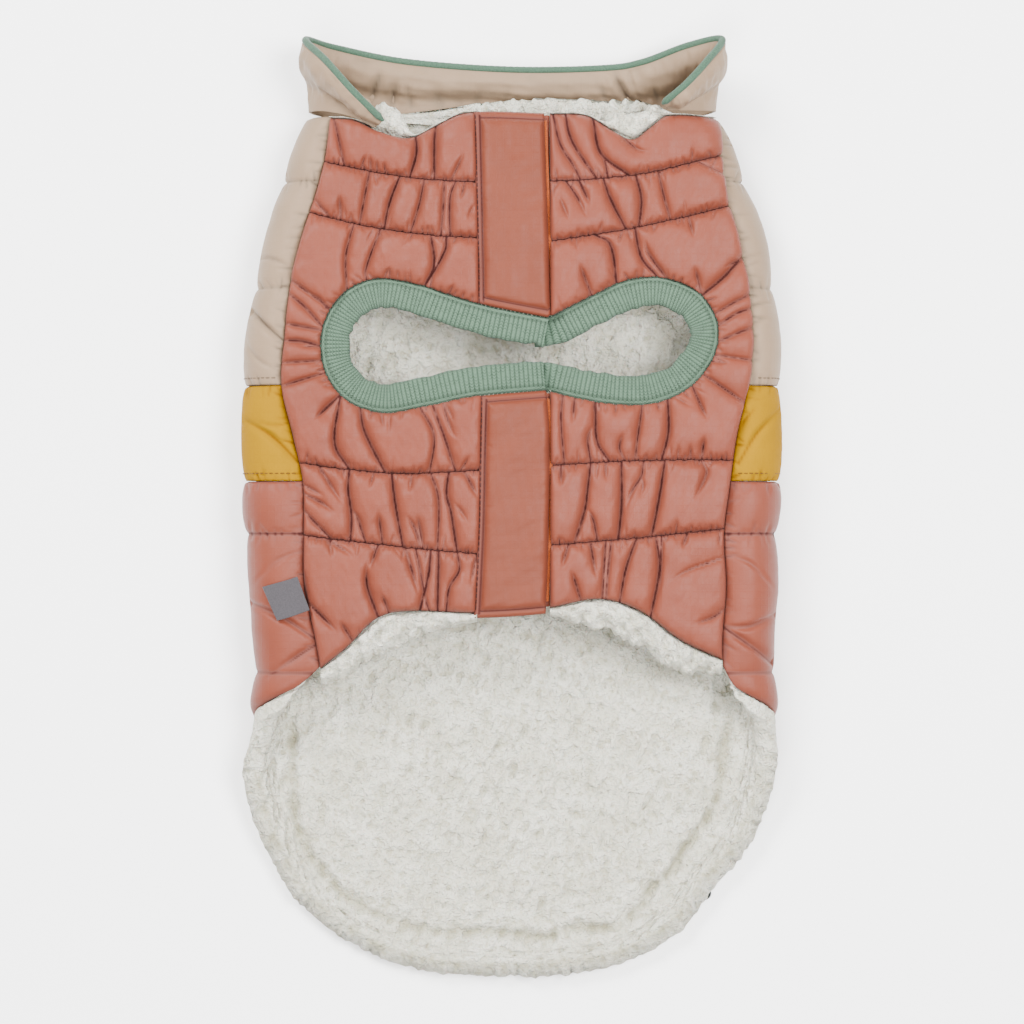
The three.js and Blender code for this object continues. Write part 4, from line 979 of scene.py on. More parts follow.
def section_points(cut, along, depth, puff=0.0):
    """Points of half sections: rows by columns, so far along each past the flat part of its underside."""
    half, flat, foot = (cut[key][:, None] for key in ("half", "flat", "foot"))
    depth = np.broadcast_to(depth, along.shape)
    turn = np.clip(along / half, 0, math.pi)
    radius = half - depth + puff
    over = np.maximum(along - math.pi * half, 0)
    out = np.where(along > 0, flat + radius * np.sin(turn) - over, flat + along)
    z = np.where(along > 0, half - radius * np.cos(turn), depth)
    z = z + np.where(over > 0, crown_at(out, flat, foot), 0)
    return np.stack([cut["ox"][:, None] * out, foot + cut["oy"][:, None] * out, z], axis=-1)


def both_sides(y, turn=None):
    parts = []
    for side in (RIGHT, LEFT):
        rows = tube_rows(side, y)
        parts.append(join_rows(rows, tail_rows(side, turn)) if turn is not None else rows)
    return parts


def across(cut, flat_columns, round_columns, past=None):
    """Distances along half sections, from the foot out to the edge."""
    flat = -cut["flat"][:, None] * np.linspace(1, 0, flat_columns + 1)[None, :-1]
    edge = cut["edge"] + (0 if past is None else past)
    return np.concatenate([flat, edge[:, None] * np.linspace(0, 1, round_columns + 1)[None]], axis=1)


def back_height(side, x, y, turn, away, seed):
    """How far the back's padding stands out at points of its sides."""
    puff = np.zeros(x.shape)
    for top, low in zip(BACK_LINES, BACK_LINES[1:]):
        share = np.clip((y - low) / (top - low), 0, 1)
        puff = np.where((y <= top) & (y > low), np.sin(np.pi * share) ** 0.3, puff)
    held = crease_map(x, y, SIDE_CREASES[side] + side_puckers(side, seed))
    upper = turn > 1.7
    puff = puff * np.where(upper, 1 - 0.85 * np.clip(held, 0, 1), 1)
    puff += waves(x + seed, y, 26, 40 + seed) * 0.09 * puff
    return BACK_PUFF * puff * smooth(turn, 0.5, 1.3) * (1 - np.exp(-np.maximum(away, 0) / 4.2))


def side_puckers(side, seed):
    """Small creases that start at the side seam and at the stitch lines."""
    rng = jitter(seed)
    made = []
    y = 170.0
    while y > -70:
        x = side * float(seam_at(side, y))
        reach = rng.uniform(3, 8)
        made.append((rng.uniform(0.2, 0.75), [(x, y), (x + side * reach, y + rng.normal(0, 1.6))], 0.8, (0, 1)))
        y -= rng.uniform(3, 7.5)
    for line in BACK_LINES[1:-2]:
        x0 = float(seam_at(side, line))
        for x in np.arange(x0 + 2, x0 + 24, 3.4):
            x = side * (x + rng.normal(0, 0.8))
            for way in (1, -1):
                tip = (x + rng.normal(0, 1), line + way * rng.uniform(3, 8))
                made.append((rng.uniform(0.15, 0.6), [(x, line), tip], 0.8, (0, 1)))
    return made


SIDE_CREASES = {
    LEFT: [
        (1.0, [(-86, -61.5), (-96, -68), (-108, -76.5)], 1.6, (0.1, 0.7)),
        (0.9, [(-117, -42.5), (-102, -50), (-86, -60.5)], 1.5, (0.6, 0.1)),
        (1.0, [(-117, 91), (-110, 82), (-101, 73.5)], 1.5, (0.5, 0.1)),
        (0.9, [(-116, 38), (-105, 30), (-94, 18.5)], 1.6, (0.6, 0.2)),
        (0.4, [(-103, 60), (-112, 66), (-117, 76)], 1.2, (0.4, 0.8)),
        (0.6, [(-100, 108), (-106, 111), (-113, 112)], 1.2, (0.4, 0.8)),
        (0.5, [(-94, 40), (-104, 36), (-114, 38)], 1.2, (0.4, 0.8)),
        (0.5, [(-93, -20), (-103, -24), (-112, -34)], 1.2, (0.4, 0.8)),
    ],
    RIGHT: [
        (1.0, [(90, -50.5), (107.5, -63), (117, -71)], 1.6, (0.1, 0.2)),
        (0.8, [(117, -49), (106, -54), (94, -54)], 1.5, (0.5, 0.2)),
        (0.7, [(102, 19), (110, 33), (119, 44)], 1.5, (0.1, 0.6)),
        (0.5, [(96.5, -62.5), (96, -69.5)], 1.1, (0.4, 0.8)),
        (0.7, [(97, 107), (103.5, 111), (112, 113)], 1.2, (0.4, 0.8)),
        (0.7, [(106, 87), (108, 89.5), (117, 92)], 1.2, (0.4, 0.8)),
        (0.7, [(108.5, 43), (104, 37), (102, 29.5)], 1.3, (0.4, 0.8)),
        (0.5, [(98, -22), (107, -26), (115, -36)], 1.2, (0.4, 0.8)),
    ],
}


def shell_share(cut):
    """The share of the fleece's way round the tail's edge that the shell reaches."""
    tube = cut["oy"] == 0
    return np.where(tube, lerp(1, 0.64, smooth(cut["foot"], -80, -96)), 0.64)


# The darkness of each stitch line is painted shade in its groove.
SIDE_SEWN = [(146, 0.2), (98, 0.3), (-12.5, 0.85), (-75, 0.7)]  # stitch lines across the sides: Y, how dark


def back_face(cuts, flat_columns, round_columns, depth, seed=None, past=None):
    """Both halves of a face in one grid, from the right edge under the coat to the left edge."""
    halves, painted_shade_maps = [], []
    for side, cut in zip((RIGHT, LEFT), cuts):
        along = across(cut, flat_columns, round_columns, None if past is None else past[side])
        puff, painted_shade = 0.0, np.zeros(along.shape)
        if seed is not None:
            turn = along / cut["half"][:, None]
            bare = section_points(cut, along, 0.0)
            away = cut["edge"][:, None] - along
            puff = back_height(side, bare[..., 0], bare[..., 1], turn, away, seed + side)
            tube = (cut["oy"] == 0)[:, None]
            puff = np.where(tube, puff, 0.8 * smooth(turn, 0.3, 1) * (1 - np.exp(-np.maximum(away, 0) / 4)))
            creases = [(firm, line, 0.7, fades)
                       for firm, line, _, fades in SIDE_CREASES[side] + side_puckers(side, seed + side)]
            held = crease_map(bare[..., 0], bare[..., 1], creases)
            y = bare[..., 1]
            sewn = sum(firm * np.exp(-(((y - line) / 0.6) ** 2)) for line, firm in SIDE_SEWN)
            # Painted shade: low between the side's puffs, along its creases and puckers, and in the stitch grooves.
            painted_shade = np.where(turn > 1.2, np.clip(1 - puff / 1.3, 0, 1) ** 1.5 * 0.3 + 0.7 * held, 0)
            painted_shade = np.clip(painted_shade + np.where(tube & (turn > 0.4), sewn, 0), 0, 1)
        depths = depth(side, cut, along) if callable(depth) else depth
        halves.append(section_points(cut, along, depths, puff))
        painted_shade_maps.append(painted_shade)
    right, left = halves
    grid = np.concatenate([right[:, ::-1], left[:, 1:]], axis=1)
    return grid, np.concatenate([painted_shade_maps[0][:, ::-1], painted_shade_maps[1][:, 1:]], axis=1)


def under_groove(side, cut, along):
    """The underside is flat but for shallow sewn grooves across it."""
    y = np.broadcast_to(cut["foot"][:, None], along.shape)
    groove = np.zeros(along.shape)
    for line in BACK_LINES[1:-1]:
        groove += 1.1 * np.exp(-(((y - line) / 2.2) ** 2))
    return np.where((along < 0) & (cut["oy"] == 0)[:, None], groove, 0)


def back_piece(name, node, y, turn, material, seed):
    cuts = both_sides(y, turn)
    for cut in cuts:
        cut["edge"] = cut["edge"] * shell_share(cut)
    outer, painted_shade_map = back_face(cuts, 26, 64, under_groove, seed)
    keep = np.unique(np.linspace(0, outer.shape[0] - 1, max(outer.shape[0] // 4, 8)).round().astype(int))
    coarse = [{key: value[keep] for key, value in cut.items()} for cut in cuts]
    inner, _ = back_face(coarse, 8, 20, SHELL)
    piece = wall(name, outer, inner, material, painted_shade_map=painted_shade_map, ends_meet=turn is not None, kept_rows=keep)
    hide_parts(node)
    return piece


def steps(top, low, spacing):
    return np.linspace(top, low, max(int(abs(top - low) / spacing), 4) + 1)


back_yoke = back_piece("back_yoke_cloth", "back_yoke", steps(NECK_SEAM, YOKE_SEAM + GAP, 0.8), None, SAND,
                       3)
back_band = back_piece("back_band_cloth", "back_band", steps(YOKE_SEAM, BAND_SEAM + GAP, 0.8), None, MUSTARD,
                       5)
tail_turns = np.linspace(90 / 60, 90, 60)
back_body = back_piece("back_body_cloth", "back_body", steps(BAND_SEAM, TAIL_CENTRE, 0.8), tail_turns, ROSE,
                       9)

# Fleece


def fleece_height(u, v, seed):
    """The curly pile's lumps over a surface, in millimetres."""
    wu, wv = u + waves(u, v, 7, seed) * 1.2, v * 0.85 + waves(u, v, 8, seed + 1) * 1.4
    lump = 0.9 * cells(wu, wv, 7.0, seed) + 1.7 * cells(wu + 3, wv, 4.4, seed + 2)
    return lump + 0.8 * cells(wu, wv + 5, 2.8, seed + 3) + 1.3 * waves(u * 1.2, v, 9, seed + 4) - 0.3


TAIL_SEAM = [(-99, -100), (-99.5, -124), (-97, -146), (-84, -168), (-64, -184), (-36, -193), (-6.5, -193.5),
             (13.7, -195.5), (30.4, -191.7), (45.7, -191.5), (55, -186), (63.2, -174.6), (72.7, -166.5),
             (78, -157), (87, -146), (93.8, -130.5), (97, -112), (98, -100)]


def back_lining():
    neck_rows = 16
    y = np.concatenate([np.full(neck_rows, NECK_SEAM - 1.5), steps(NECK_SEAM - 1.5, 105, 2.2), steps(103.5, 40, 1.3),
                        steps(38, -30, 2.4), steps(-31.5, TAIL_CENTRE, 1.1)])
    turn = np.linspace(90 / 98, 90, 98)
    rise = np.zeros(len(y) + len(turn))
    rise[:neck_rows] = np.linspace(1, 1 / neck_rows, neck_rows)
    cuts = both_sides(y, turn)
    past = {}
    for side, cut in zip((RIGHT, LEFT), cuts):
        cut["rise"] = rise
        tube = cut["oy"] == 0
        plain = np.where(tube, lerp(-FLEECE_SHORT, FLEECE_PAST, smooth(cut["foot"], -70, -90)), FLEECE_PAST)
        way = np.cumsum(np.where(tube, 1.1, 1.9)) + side * 40
        uneven = waves(way, 0 * way, 5, 91 + side) * 1.5 + waves(way, 0 * way, 2.6, 93 + side, 1) * 0.9
        past[side] = plain + uneven * (plain > 0)
    seam = curve(TAIL_SEAM)(np.linspace(0, 1, 260))[0]

    def pile(side, cut, along):
        u = cut["ox"][:, None] * (cut["flat"][:, None] + along)
        v = cut["foot"][:, None] + cut["oy"][:, None] * (cut["flat"][:, None] + along)
        v = v + cut["rise"][:, None] * neck_rise_at(u)
        near = np.full(u.shape, 1e9)
        zone = v < -90
        gap = near[zone]
        for px, py in seam:
            gap = np.minimum(gap, (u[zone] - px) ** 2 + (v[zone] - py) ** 2)
        near[zone] = gap
        groove = 2.6 * np.exp(-near / 2.4**2)
        edge = cut["edge"][:, None] + past[side][:, None] - along
        thin = 1.8 * np.exp(-np.maximum(edge, 0) / 1.6)
        return LINING_IN + FLEECE - 0.8 + fleece_height(u, v, 5) - groove - thin

    def back_side(side, cut, along):
        """The fleece's covered face, which swells out past the shell's edge."""
        shell = (cut["edge"] * shell_share(cut))[:, None]
        hem = smooth(cut["foot"], -74, -90)[:, None]
        u = cut["ox"][:, None] * (cut["flat"][:, None] + along)
        v = cut["foot"][:, None] + cut["oy"][:, None] * (cut["flat"][:, None] + along)
        swell = 2.6 + 0.35 * fleece_height(u * 1.3, v * 1.3, 15)
        return LINING_IN - hem * swell * smooth(along - shell, 0.2, 2.6)

    inner, _ = back_face(cuts, 92, 42, pile, past=past)
    flat_inner, _ = back_face(cuts, 92, 42, LINING_IN + FLEECE + 1.2, past=past)
    # Painted shade in the pile's hollows, by how far the pile sinks; none on the neck's rise.
    sunk = np.linalg.norm(inner - flat_inner, axis=-1) * np.sign(flat_inner[..., 2] - inner[..., 2])
    painted_shade = np.clip((sunk + 0.4) / 3.1, 0, 1) ** 1.2 * (1 - smooth(rise, 0, 0.1))[:, None]
    outer, _ = back_face(cuts, 8, 30, back_side, past=past)
    for grid in (inner, outer):
        under = (grid[..., 2] < 14) & (rise[:, None] > 0)
        across_neck = grid[..., 0]
        tufts = 1.5 + 0.3 * waves(across_neck, 0 * across_neck, 6, 101, 2)
        grid[..., 1] += np.where(under, rise[:, None] * neck_rise_at(across_neck) * tufts, 0)
        grid[..., 2] += np.where(under, (rise * 2.6 - 2.4 * rise**5)[:, None], 0)
    keep = np.unique(np.concatenate([np.arange(0, neck_rows, 4), np.arange(neck_rows, len(y) - 22, 5),
                                     np.arange(len(y) - 22, len(rise)), [len(rise) - 1]]))
    piece = wall("back_lining_fleece", inner[:, ::-1], outer[keep][:, ::-1], FLEECE_LOOK,
                 painted_shade_map=painted_shade[:, ::-1], ends_meet=True, kept_rows=keep)
    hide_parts("lining_back")
    return piece


lining_back = back_lining()


def belly_lining(side):
    """Its rows run from the tufts at the neck, under the panel, to the soft roll past the hem."""
    rows = [(0, 1 - t, 0, 3.2 * math.sin(math.pi * t) - 2.4 * (1 - t) ** 4) for t in np.linspace(0, 1, 15)[:-1]]
    rows += [(v, 0, 0, 0) for v in np.linspace(0, 1, 64)]
    for t in np.linspace(0, 1, 25)[1:]:
        rows.append((1, 0, t, 3.0 * math.sin(math.pi * min(t * 0.9 + 0.1, 1)) ** 0.6 - 3.6 * t**5))
    rows = np.array(rows)
    lines = belly_lines(side)
    middle = FLAP["left"] - GAP if side < 0 else PANEL_EDGE
    columns = 96
    share = np.linspace(0, 1, columns + 1)
    x, y = np.zeros((len(rows), columns + 1)), np.zeros((len(rows), columns + 1))
    for r, (v, tuft, roll, _) in enumerate(rows):
        edge = side * seam_at(side, 0)
        for _ in range(4):
            edge = side * (seam_at(side, lerp(neckline_at(edge), hemline_at(edge), v)) - GAP)
        x[r] = lerp(middle, edge, share)
        tufts = 1.0 + sum(reach * np.exp(-(((x[r] - at) / wide) ** 4)) for at, reach, wide in NECK_TUFTS)
        scallop = 1 + 0.15 * waves(x[r], 0 * x[r], 8, 61 + side) + 0.1 * waves(x[r], 0 * x[r], 3.5, 63 + side, 1)
        y[r] = lerp(neckline_at(x[r]), hemline_at(x[r]), v) + tuft * tufts * scallop - roll * hem_roll_at(x[r]) * scallop
    shown = np.maximum(smooth(rows[:, 1], 0, 0.2), smooth(rows[:, 2], 0, 0.12))[:, None]
    pile = fleece_height(x, y, 17) - 0.8
    lift = rows[:, 3][:, None] + pile * shown * 1.6
    outer_depth = LINING_IN - lift
    inner_depth = LINING_IN + FLEECE - smooth(rows[:, 2], 0.8, 1)[:, None] * 1.2 + 0 * x
    outer_depth = np.minimum(outer_depth, inner_depth - 0.6)
    # Painted shade where the pile is low, on the shown tufts and roll.
    painted_shade_map = np.clip(0.5 - pile / 3, 0, 1) * 0.45 * shown
    odd = x.shape[0] - (1 - x.shape[0] % 2)
    take = np.s_[:odd] if x.shape[0] % 2 else np.s_[1:]
    name = "lining_belly_left" if side < 0 else "lining_belly_right"
    piece = cut_wall(name + "_fleece", x[take], y[take], outer_depth[take], inner_depth[take], FLEECE_LOOK,
                     painted_shade_map=painted_shade_map[take])
    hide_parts(name)
    return piece


lining_belly_left, lining_belly_right = belly_lining(LEFT), belly_lining(RIGHT)

# The ribbing, a knitted strip folded double along the leg opening


def ribbing(name, node, rows, tucked):
    line = curve(rows)
    ribs = round(line.length / RIB["pitch"])
    count = ribs * 8
    at = np.linspace(0, 1, count + 1)
    foot, ahead = line(at)
    phase = at * ribs
    profile = np.array([(0.2, 0.4), (0.5, 1.0), (1.1, 1.7), (1.7, 1.8), (2.2, 1.6), (2.8, 1.9), (4, 2.1), (5.6, 2.1), (7.2, 2.1),
                        (8.8, 2.2), (10.2, 2.25), (11.3, 2.1), (12.2, 1.7), (12.8, 0.9), (13.0, 0), (12.8, -0.9),
                        (12.3, -1.5), (11.4, -1.8)])
    ridge = (0.5 + 0.5 * np.cos(2 * math.pi * phase)) ** 0.8
    rng = jitter(len(rows))
    uneven_edge = np.interp(at, np.linspace(0, 1, 60), rng.normal(0, 0.18, 60))
    from_end = np.minimum(at, 1 - at) * line.length
    down = RIB_TUCK_DEPTH * smooth(RIB_TUCK - from_end, -10, 0) if tucked else 0 * at

    def lay(distance, high, scale):
        d = distance * (1 + uneven_edge * 0.15)
        x = foot[:, 0] - ahead[:, 1] * d
        y = foot[:, 1] + ahead[:, 0] * d
        return face_point(x, y, -(high + ridge * RIB["raised"] * scale) + down)

    bound = smooth(profile[:, 0], 1.2, 2.6)  # the overlocked edge has no ribs
    bound[-4:] = 1
    outer = np.array([lay(d, h, ribbed * (1.0 if h > 0 else -0.5)) for (d, h), ribbed in zip(profile, bound)])
    inner = np.array([lay(d, -1.9, 0.0) for d in (0.2, 4, 8, 11.4)])[:, ::4]
    uv = np.stack(np.meshgrid(at * ribs * RIB["pitch"], np.arange(len(profile)) * 1.0), axis=-1)
    distance = np.concatenate([[0], np.cumsum(np.linalg.norm(np.diff(profile, axis=0), axis=1))])
    uv[..., 1] = distance[:, None]
    # Painted shade between the ribs and in the groove where the overlocked edge meets them.
    groove = 0.55 * np.exp(-(((profile[:, 0] - 2.2) / 0.5) ** 2)) * (profile[:, 1] > 1)
    painted_shade_map = np.clip((1 - ridge) ** 3 * 0.75 * bound[:, None] + groove[:, None], 0, 1)
    piece = wall(name, outer[::-1], inner[::-1], SAGE, uv=uv[::-1], painted_shade_map=painted_shade_map[::-1])
    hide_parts(node)
    seam = face_point(foot[:, 0], foot[:, 1], -1.1 + down)
    return piece, seam


rib_left, rib_seam_left = ribbing("rib_left_knit", "rib_left", SEW_LEFT, False)
rib_right, rib_seam_right = ribbing("rib_right_knit", "rib_right", SEW_RIGHT, True)

# The closure


def strip_grid(left, right, top, bottom, columns, rows):
    """A plan grid between two upright edges, each a function of Y, and two cross edges, functions of X."""
    share = np.linspace(0, 1, columns + 1)[None]
    v = np.linspace(0, 1, rows + 1)[:, None]
    x = np.zeros((rows + 1, columns + 1))
    for _ in range(4):
        y = lerp(top(x), bottom(x), v)
        x = lerp(left(y), right(y), share)
    return x, y


END_STITCH = 3.0  # from a flap's two ends to the stitch line across it


def flap_height(x, y, part, top, bottom, seed):
    """Height of a flap's face over its underside: a stitched channel, a second stitch line, then padding."""
    edges = FLAP_EDGES[part]
    left, seam, right = (through([row[0] for row in edges], [row[k] for row in edges])(y) for k in (1, 2, 3))
    from_end = np.minimum(top(x) - y, y - bottom(x))
    inward = np.minimum(np.minimum(x - seam, right - x), from_end - END_STITCH)
    pad = 1 - np.exp(-np.maximum(inward, 0) / 1.2)
    held = crease_map(x, y, flap_creases(part, top, bottom, seed))
    pad = pad * (1 - 0.5 * np.clip(held, 0, 1))
    soft = waves(x, y, 24, seed) * 0.25
    rim = 1.0 + 0.8 * np.sin(np.pi * np.clip((x - left) / (seam - left), 0, 1)) ** 0.7
    rim = np.where(x > seam, 1.0 + 0.8 * np.sin(np.pi * np.clip(from_end / END_STITCH, 0, 1)) ** 0.7, rim)
    high = np.where(inward > 0, 1.0 + (FLAP["high"] - 1.5) * pad * (1 + soft), rim)
    end = np.minimum(np.minimum(from_end, right - x), x - left)
    return high * (0.3 + 0.7 * (1 - np.exp(-np.maximum(end, 0) / 0.5)))


def flap_creases(part, top, bottom, seed):
    rng = jitter(seed)
    made = []
    seam = through([row[0] for row in FLAP_EDGES[part]], [row[2] for row in FLAP_EDGES[part]])
    y = float(top(0.0)) - 5
    while y > float(bottom(0.0)) + 4:
        x = float(seam(y))
        reach = rng.uniform(1.5, 4)
        made.append((rng.uniform(0.1, 0.4), [(x, y), (x + reach, y + rng.normal(0, 0.8))], 0.7, (0, 1)))
        y -= rng.uniform(3, 9)
    return made


def flap(part, top, bottom, seed):
    edges = FLAP_EDGES[part]
    left, seam, right = (through([row[0] for row in edges], [row[k] for row in edges]) for k in (1, 2, 3))
    rows = int((float(top(0.0)) - float(bottom(0.0))) / 0.62)
    x, y = strip_grid(left, right, top, bottom, 58, rows)
    high = flap_height(x, y, part, top, bottom, seed)
    outer = face_point(x, y, -FLAP["lift"] - high)
    x_in, y_in = strip_grid(left, right, top, bottom, 10, rows // 5)
    inner = face_point(x_in, y_in, -FLAP["lift"])
    from_end = np.minimum(top(x) - y, y - bottom(x))
    line = np.minimum(np.abs(x - seam(y)) + (from_end < 1.5) * 9, np.abs(from_end - END_STITCH) + (x < seam(y)) * 9)
    # Painted shade: along the stitch lines, at the left edge, and over the stitched channel.
    painted_shade = 0.85 * np.exp(-((line / 0.5) ** 2)) + 0.35 * np.exp(-(x - left(y)) / 0.6) + 0.3 * (x < seam(y))
    painted_shade = np.clip(painted_shade, 0, 1)
    piece = wall(f"flap_{part}_cloth", outer, inner, ROSE_FLAP_SHADED, painted_shade_map=painted_shade)
    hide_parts(f"flap_{part}")

    def on_face(points):
        px, py = points[:, 0], points[:, 1]
        return face_point(px, py, -FLAP["lift"] - flap_height(px, py, part, top, bottom, seed) - 0.05)

    ys = np.linspace(float(top(0.0)) - 1, float(bottom(0.0)) + 1, 200)
    lines = [np.stack([left(ys) + 0.9, ys], axis=-1), np.stack([seam(ys), ys], axis=-1)]
    for end, way in ((top, -1), (bottom, 1)):
        xs = np.linspace(float(seam(ys[0 if way < 0 else -1])), FLAP["right"] - 1.2, 60)
        lines.append(np.stack([xs, end(xs) + way * END_STITCH], axis=-1))
    return piece, [on_face(line) for line in lines]


leg_top_edge = lambda x: leg_top(x) + 0.2
leg_bottom_edge = lambda x: leg_bottom(x) - 0.2
flap_low = lambda x: hemline_at(x) - 2.4
flap_chest, chest_seams = flap("chest", neckline_at, leg_top_edge, 51)
flap_tummy, tummy_seams = flap("tummy", leg_bottom_edge, flap_low, 57)


def plain_strip(name, node, left, right, top, bottom, upper, lower, material, ends):
    edges = (lambda x: top(x) - ends), (lambda x: bottom(x) + ends)
    x, y = strip_grid(left, right, *edges, 24, 90)
    x_in, y_in = strip_grid(left, right, *edges, 6, 18)
    wave = waves(x, y, 9, 71) * 0.12
    piece = wall(name, face_point(x, y, upper + wave), face_point(x_in, y_in, lower), material)
    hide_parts(node)
    return piece


def at_x(value):
    return lambda y: value + 0 * y


underlaps, tapes = [], []
for part, top, bottom in (("chest", neckline_at, leg_top_edge), ("tummy", leg_bottom_edge, hemline_at)):
    free = through([row[0] for row in FLAP_EDGES[part]], [row[3] + TAPE["peek"] for row in FLAP_EDGES[part]])
    underlaps.append(plain_strip(f"underlap_{part}_cloth", f"underlap_{part}", at_x(FLAP["underlap"]),
                                 at_x(PANEL_EDGE - 0.1), top, bottom, 0.6, SHELL, ROSE, 0.6))
    tapes.append(plain_strip(f"tape_{part}_strip", f"tape_{part}", at_x(FLAP["left"] + TAPE["inset"]), free,
                             top, bottom, -TAPE["lift"] - TAPE["thick"], -TAPE["lift"], RUST, 3.0))

# The collar

collar_at = np.arange(len(COLLAR), dtype=float)
collar_columns = [through(collar_at, [row[k] for row in COLLAR]) for k in range(6)]


def collar_middle(t, w):
    at = t * (len(COLLAR) - 1)
    sewn = [column(at) for column in collar_columns[:3]]
    edge = [column(at) for column in collar_columns[3:]]
    lift = smooth(w, COLLAR_BAND["flat_share"], 1) * 0.75 + 0.25 * w
    return np.stack([lerp(sewn[0], edge[0], w), lerp(sewn[1], edge[1], w), lerp(sewn[2], edge[2], lift)], axis=-1)


# The band's folds behind the neck: X at half height, depth, width, how far each leans, and where it fades out.
COLLAR_FOLDS = [
    (-62, 1.3, 2.2, 9, 0.9), (-53, 1.5, 1.6, 5, 0.75), (-46, 1.0, 1.4, -3, 0.8), (-33, 0.8, 2.4, -6, 0.7),
    (-15, 0.7, 2.0, 4, 0.75), (-2, 0.6, 1.7, 6, 0.8), (16, 0.5, 2.4, 2, 0.65), (31, 0.6, 2.2, -5, 0.7),
    (43, 0.8, 1.8, -7, 0.85), (53, 1.6, 1.6, -12, 1.0), (66, 0.9, 1.6, -8, 0.7),
]


def collar_folds(t, w):
    """The listed folds' depth over the collar."""
    x = collar_middle(t, w)[..., 0]
    behind = smooth(t, 3.4 / 13, 4.4 / 13) * smooth(t, 9.4 / 13, 8.6 / 13)
    depth = np.zeros(x.shape)
    for at, deep, wide, lean, end in COLLAR_FOLDS:
        away = np.abs(x - at - lean * (w - 0.5)) / wide
        depth += deep * (np.exp(-(away**1.4)) - 0.45 * np.exp(-((away - 2) ** 2))) * smooth(w, end + 0.1, end - 0.25) * smooth(w, 0.12, 0.38)
    return depth * behind


def collar_face(t, w, face):
    along = collar_middle(np.minimum(t + 0.004, 1), w) - collar_middle(np.maximum(t - 0.004, 0), w)
    up = collar_middle(t, np.minimum(w + 0.02, 1)) - collar_middle(t, np.maximum(w - 0.02, 0))
    normal = np.cross(along, up)
    normal /= np.linalg.norm(normal, axis=-1, keepdims=True)
    swell = lerp(COLLAR_BAND["sewn"], COLLAR_BAND["full"], smooth(w, COLLAR_BAND["flat_share"], 0.68))
    ends = smooth(np.minimum(t, 1 - t), 0, 0.05) * 0.75 + 0.25
    thick = lerp(swell, COLLAR_BAND["edge"], smooth(w, 0.8, 1)) * ends
    length = t * 330
    pucker = waves(length * 1.4, w * 9, 7, 81 + face) * 0.28 * smooth(np.abs(w - 0.62), 0, 0.35)
    soft = waves(length, w * 40, 30, 83 + face) * 0.9 + waves(length * 1.3, w * 16, 11, 84 + face) * 0.35
    ripple = (pucker + soft) * smooth(w, 0.05, 0.4) * ends * smooth(1 - w, 0, 0.08)
    ripple = ripple - collar_folds(t, w) * smooth(1 - w, 0, 0.06)
    return collar_middle(t, w) + normal * (face * (thick / 2 + np.clip(ripple, -1.9, 1.6)))[..., None], ripple


def make_collar():
    t, w = np.meshgrid(np.linspace(0, 1, 381), np.linspace(1, 0, 49))
    outer, ripple = collar_face(t, w, 1)
    inner, _ = collar_face(t, w, -1)
    # Painted shade where the band dips, along its top edge under the piping, and in its folds.
    painted_shade = np.clip(-ripple, 0, 1) * 0.25 + np.exp(-(1 - w) / 0.03) * 0.3
    painted_shade += np.clip(collar_folds(t, w) / 1.5, 0, 1) ** 1.5 * 0.5
    piece = wall("collar_cloth", outer, inner, SAND, painted_shade_map=painted_shade)
    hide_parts("collar")
    return piece


collar = make_collar()


def tube(points, radius, sides, close=True):
    """Points and faces of a round tube along a line of points."""
    points = np.asarray(points, float)
    on = np.gradient(points, axis=0)
    on /= np.linalg.norm(on, axis=1, keepdims=True)
    up = np.array([0.0, 0.0, 1.0])
    side = np.cross(on, up)
    side /= np.maximum(np.linalg.norm(side, axis=1, keepdims=True), 1e-6)
    top = np.cross(side, on)
    turn = np.arange(sides) / sides * 2 * math.pi
    ring = side[:, None] * np.cos(turn)[None, :, None] + top[:, None] * np.sin(turn)[None, :, None]
    made = points[:, None] + ring * np.reshape(radius, (-1, 1, 1))
    index = np.arange(len(points) * sides).reshape(len(points), sides)
    a, b = index[:-1], index[1:]
    faces = np.stack([a, b, np.roll(b, -1, 1), np.roll(a, -1, 1)], axis=-1).reshape(-1, 4)
    made = made.reshape(-1, 3)
    first, last = len(made), len(made) + 1
    made = np.concatenate([made, points[:1], points[-1:]])
    caps = [np.stack([index[0], np.roll(index[0], -1), np.full(sides, first)], -1),
            np.stack([np.roll(index[-1], -1), index[-1], np.full(sides, last)], -1)]
    return made, [faces, np.concatenate(caps)]


def make_piping():
    t = np.linspace(0, 1, 620)
    edge = collar_middle(t, np.ones_like(t))
    up = edge - collar_middle(t, np.full_like(t, 0.9))
    up /= np.linalg.norm(up, axis=1, keepdims=True)
    line = edge + up * PIPING["seat"]
    twist = 1 + 0.035 * np.sin(t * 330 / 1.6 * 2 * math.pi)
    ends = np.minimum(1, np.minimum(t, 1 - t) * 60 + 0.35)
    points, faces = tube(line, PIPING["radius"] * twist * ends, 14)
    piece = make("collar_piping_cord", points, faces, CORD)
    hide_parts("collar_piping")
    return piece


piping = make_piping()

# Small pieces


def make_label():
    turn = math.radians(LABEL["turn"])

    def face(lift, columns, rows, curl):
        u, v = np.meshgrid(np.linspace(-0.5, 0.5, columns), np.linspace(0.5, -0.5, rows))
        a, b = u * LABEL["across"], v * LABEL["down"]
        x = LABEL["x"] + a * math.cos(turn) - b * math.sin(turn)
        y = LABEL["y"] + a * math.sin(turn) + b * math.cos(turn)
        return face_point(x, y, -BACK_PUFF - lift - curl * (u + 0.5) ** 2)

    piece = wall("side_label_cloth", face(1.3, 40, 38, 0.9), face(0.4, 10, 10, 0.9), GREY)
    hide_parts("side_label")
    return piece


side_label = make_label()


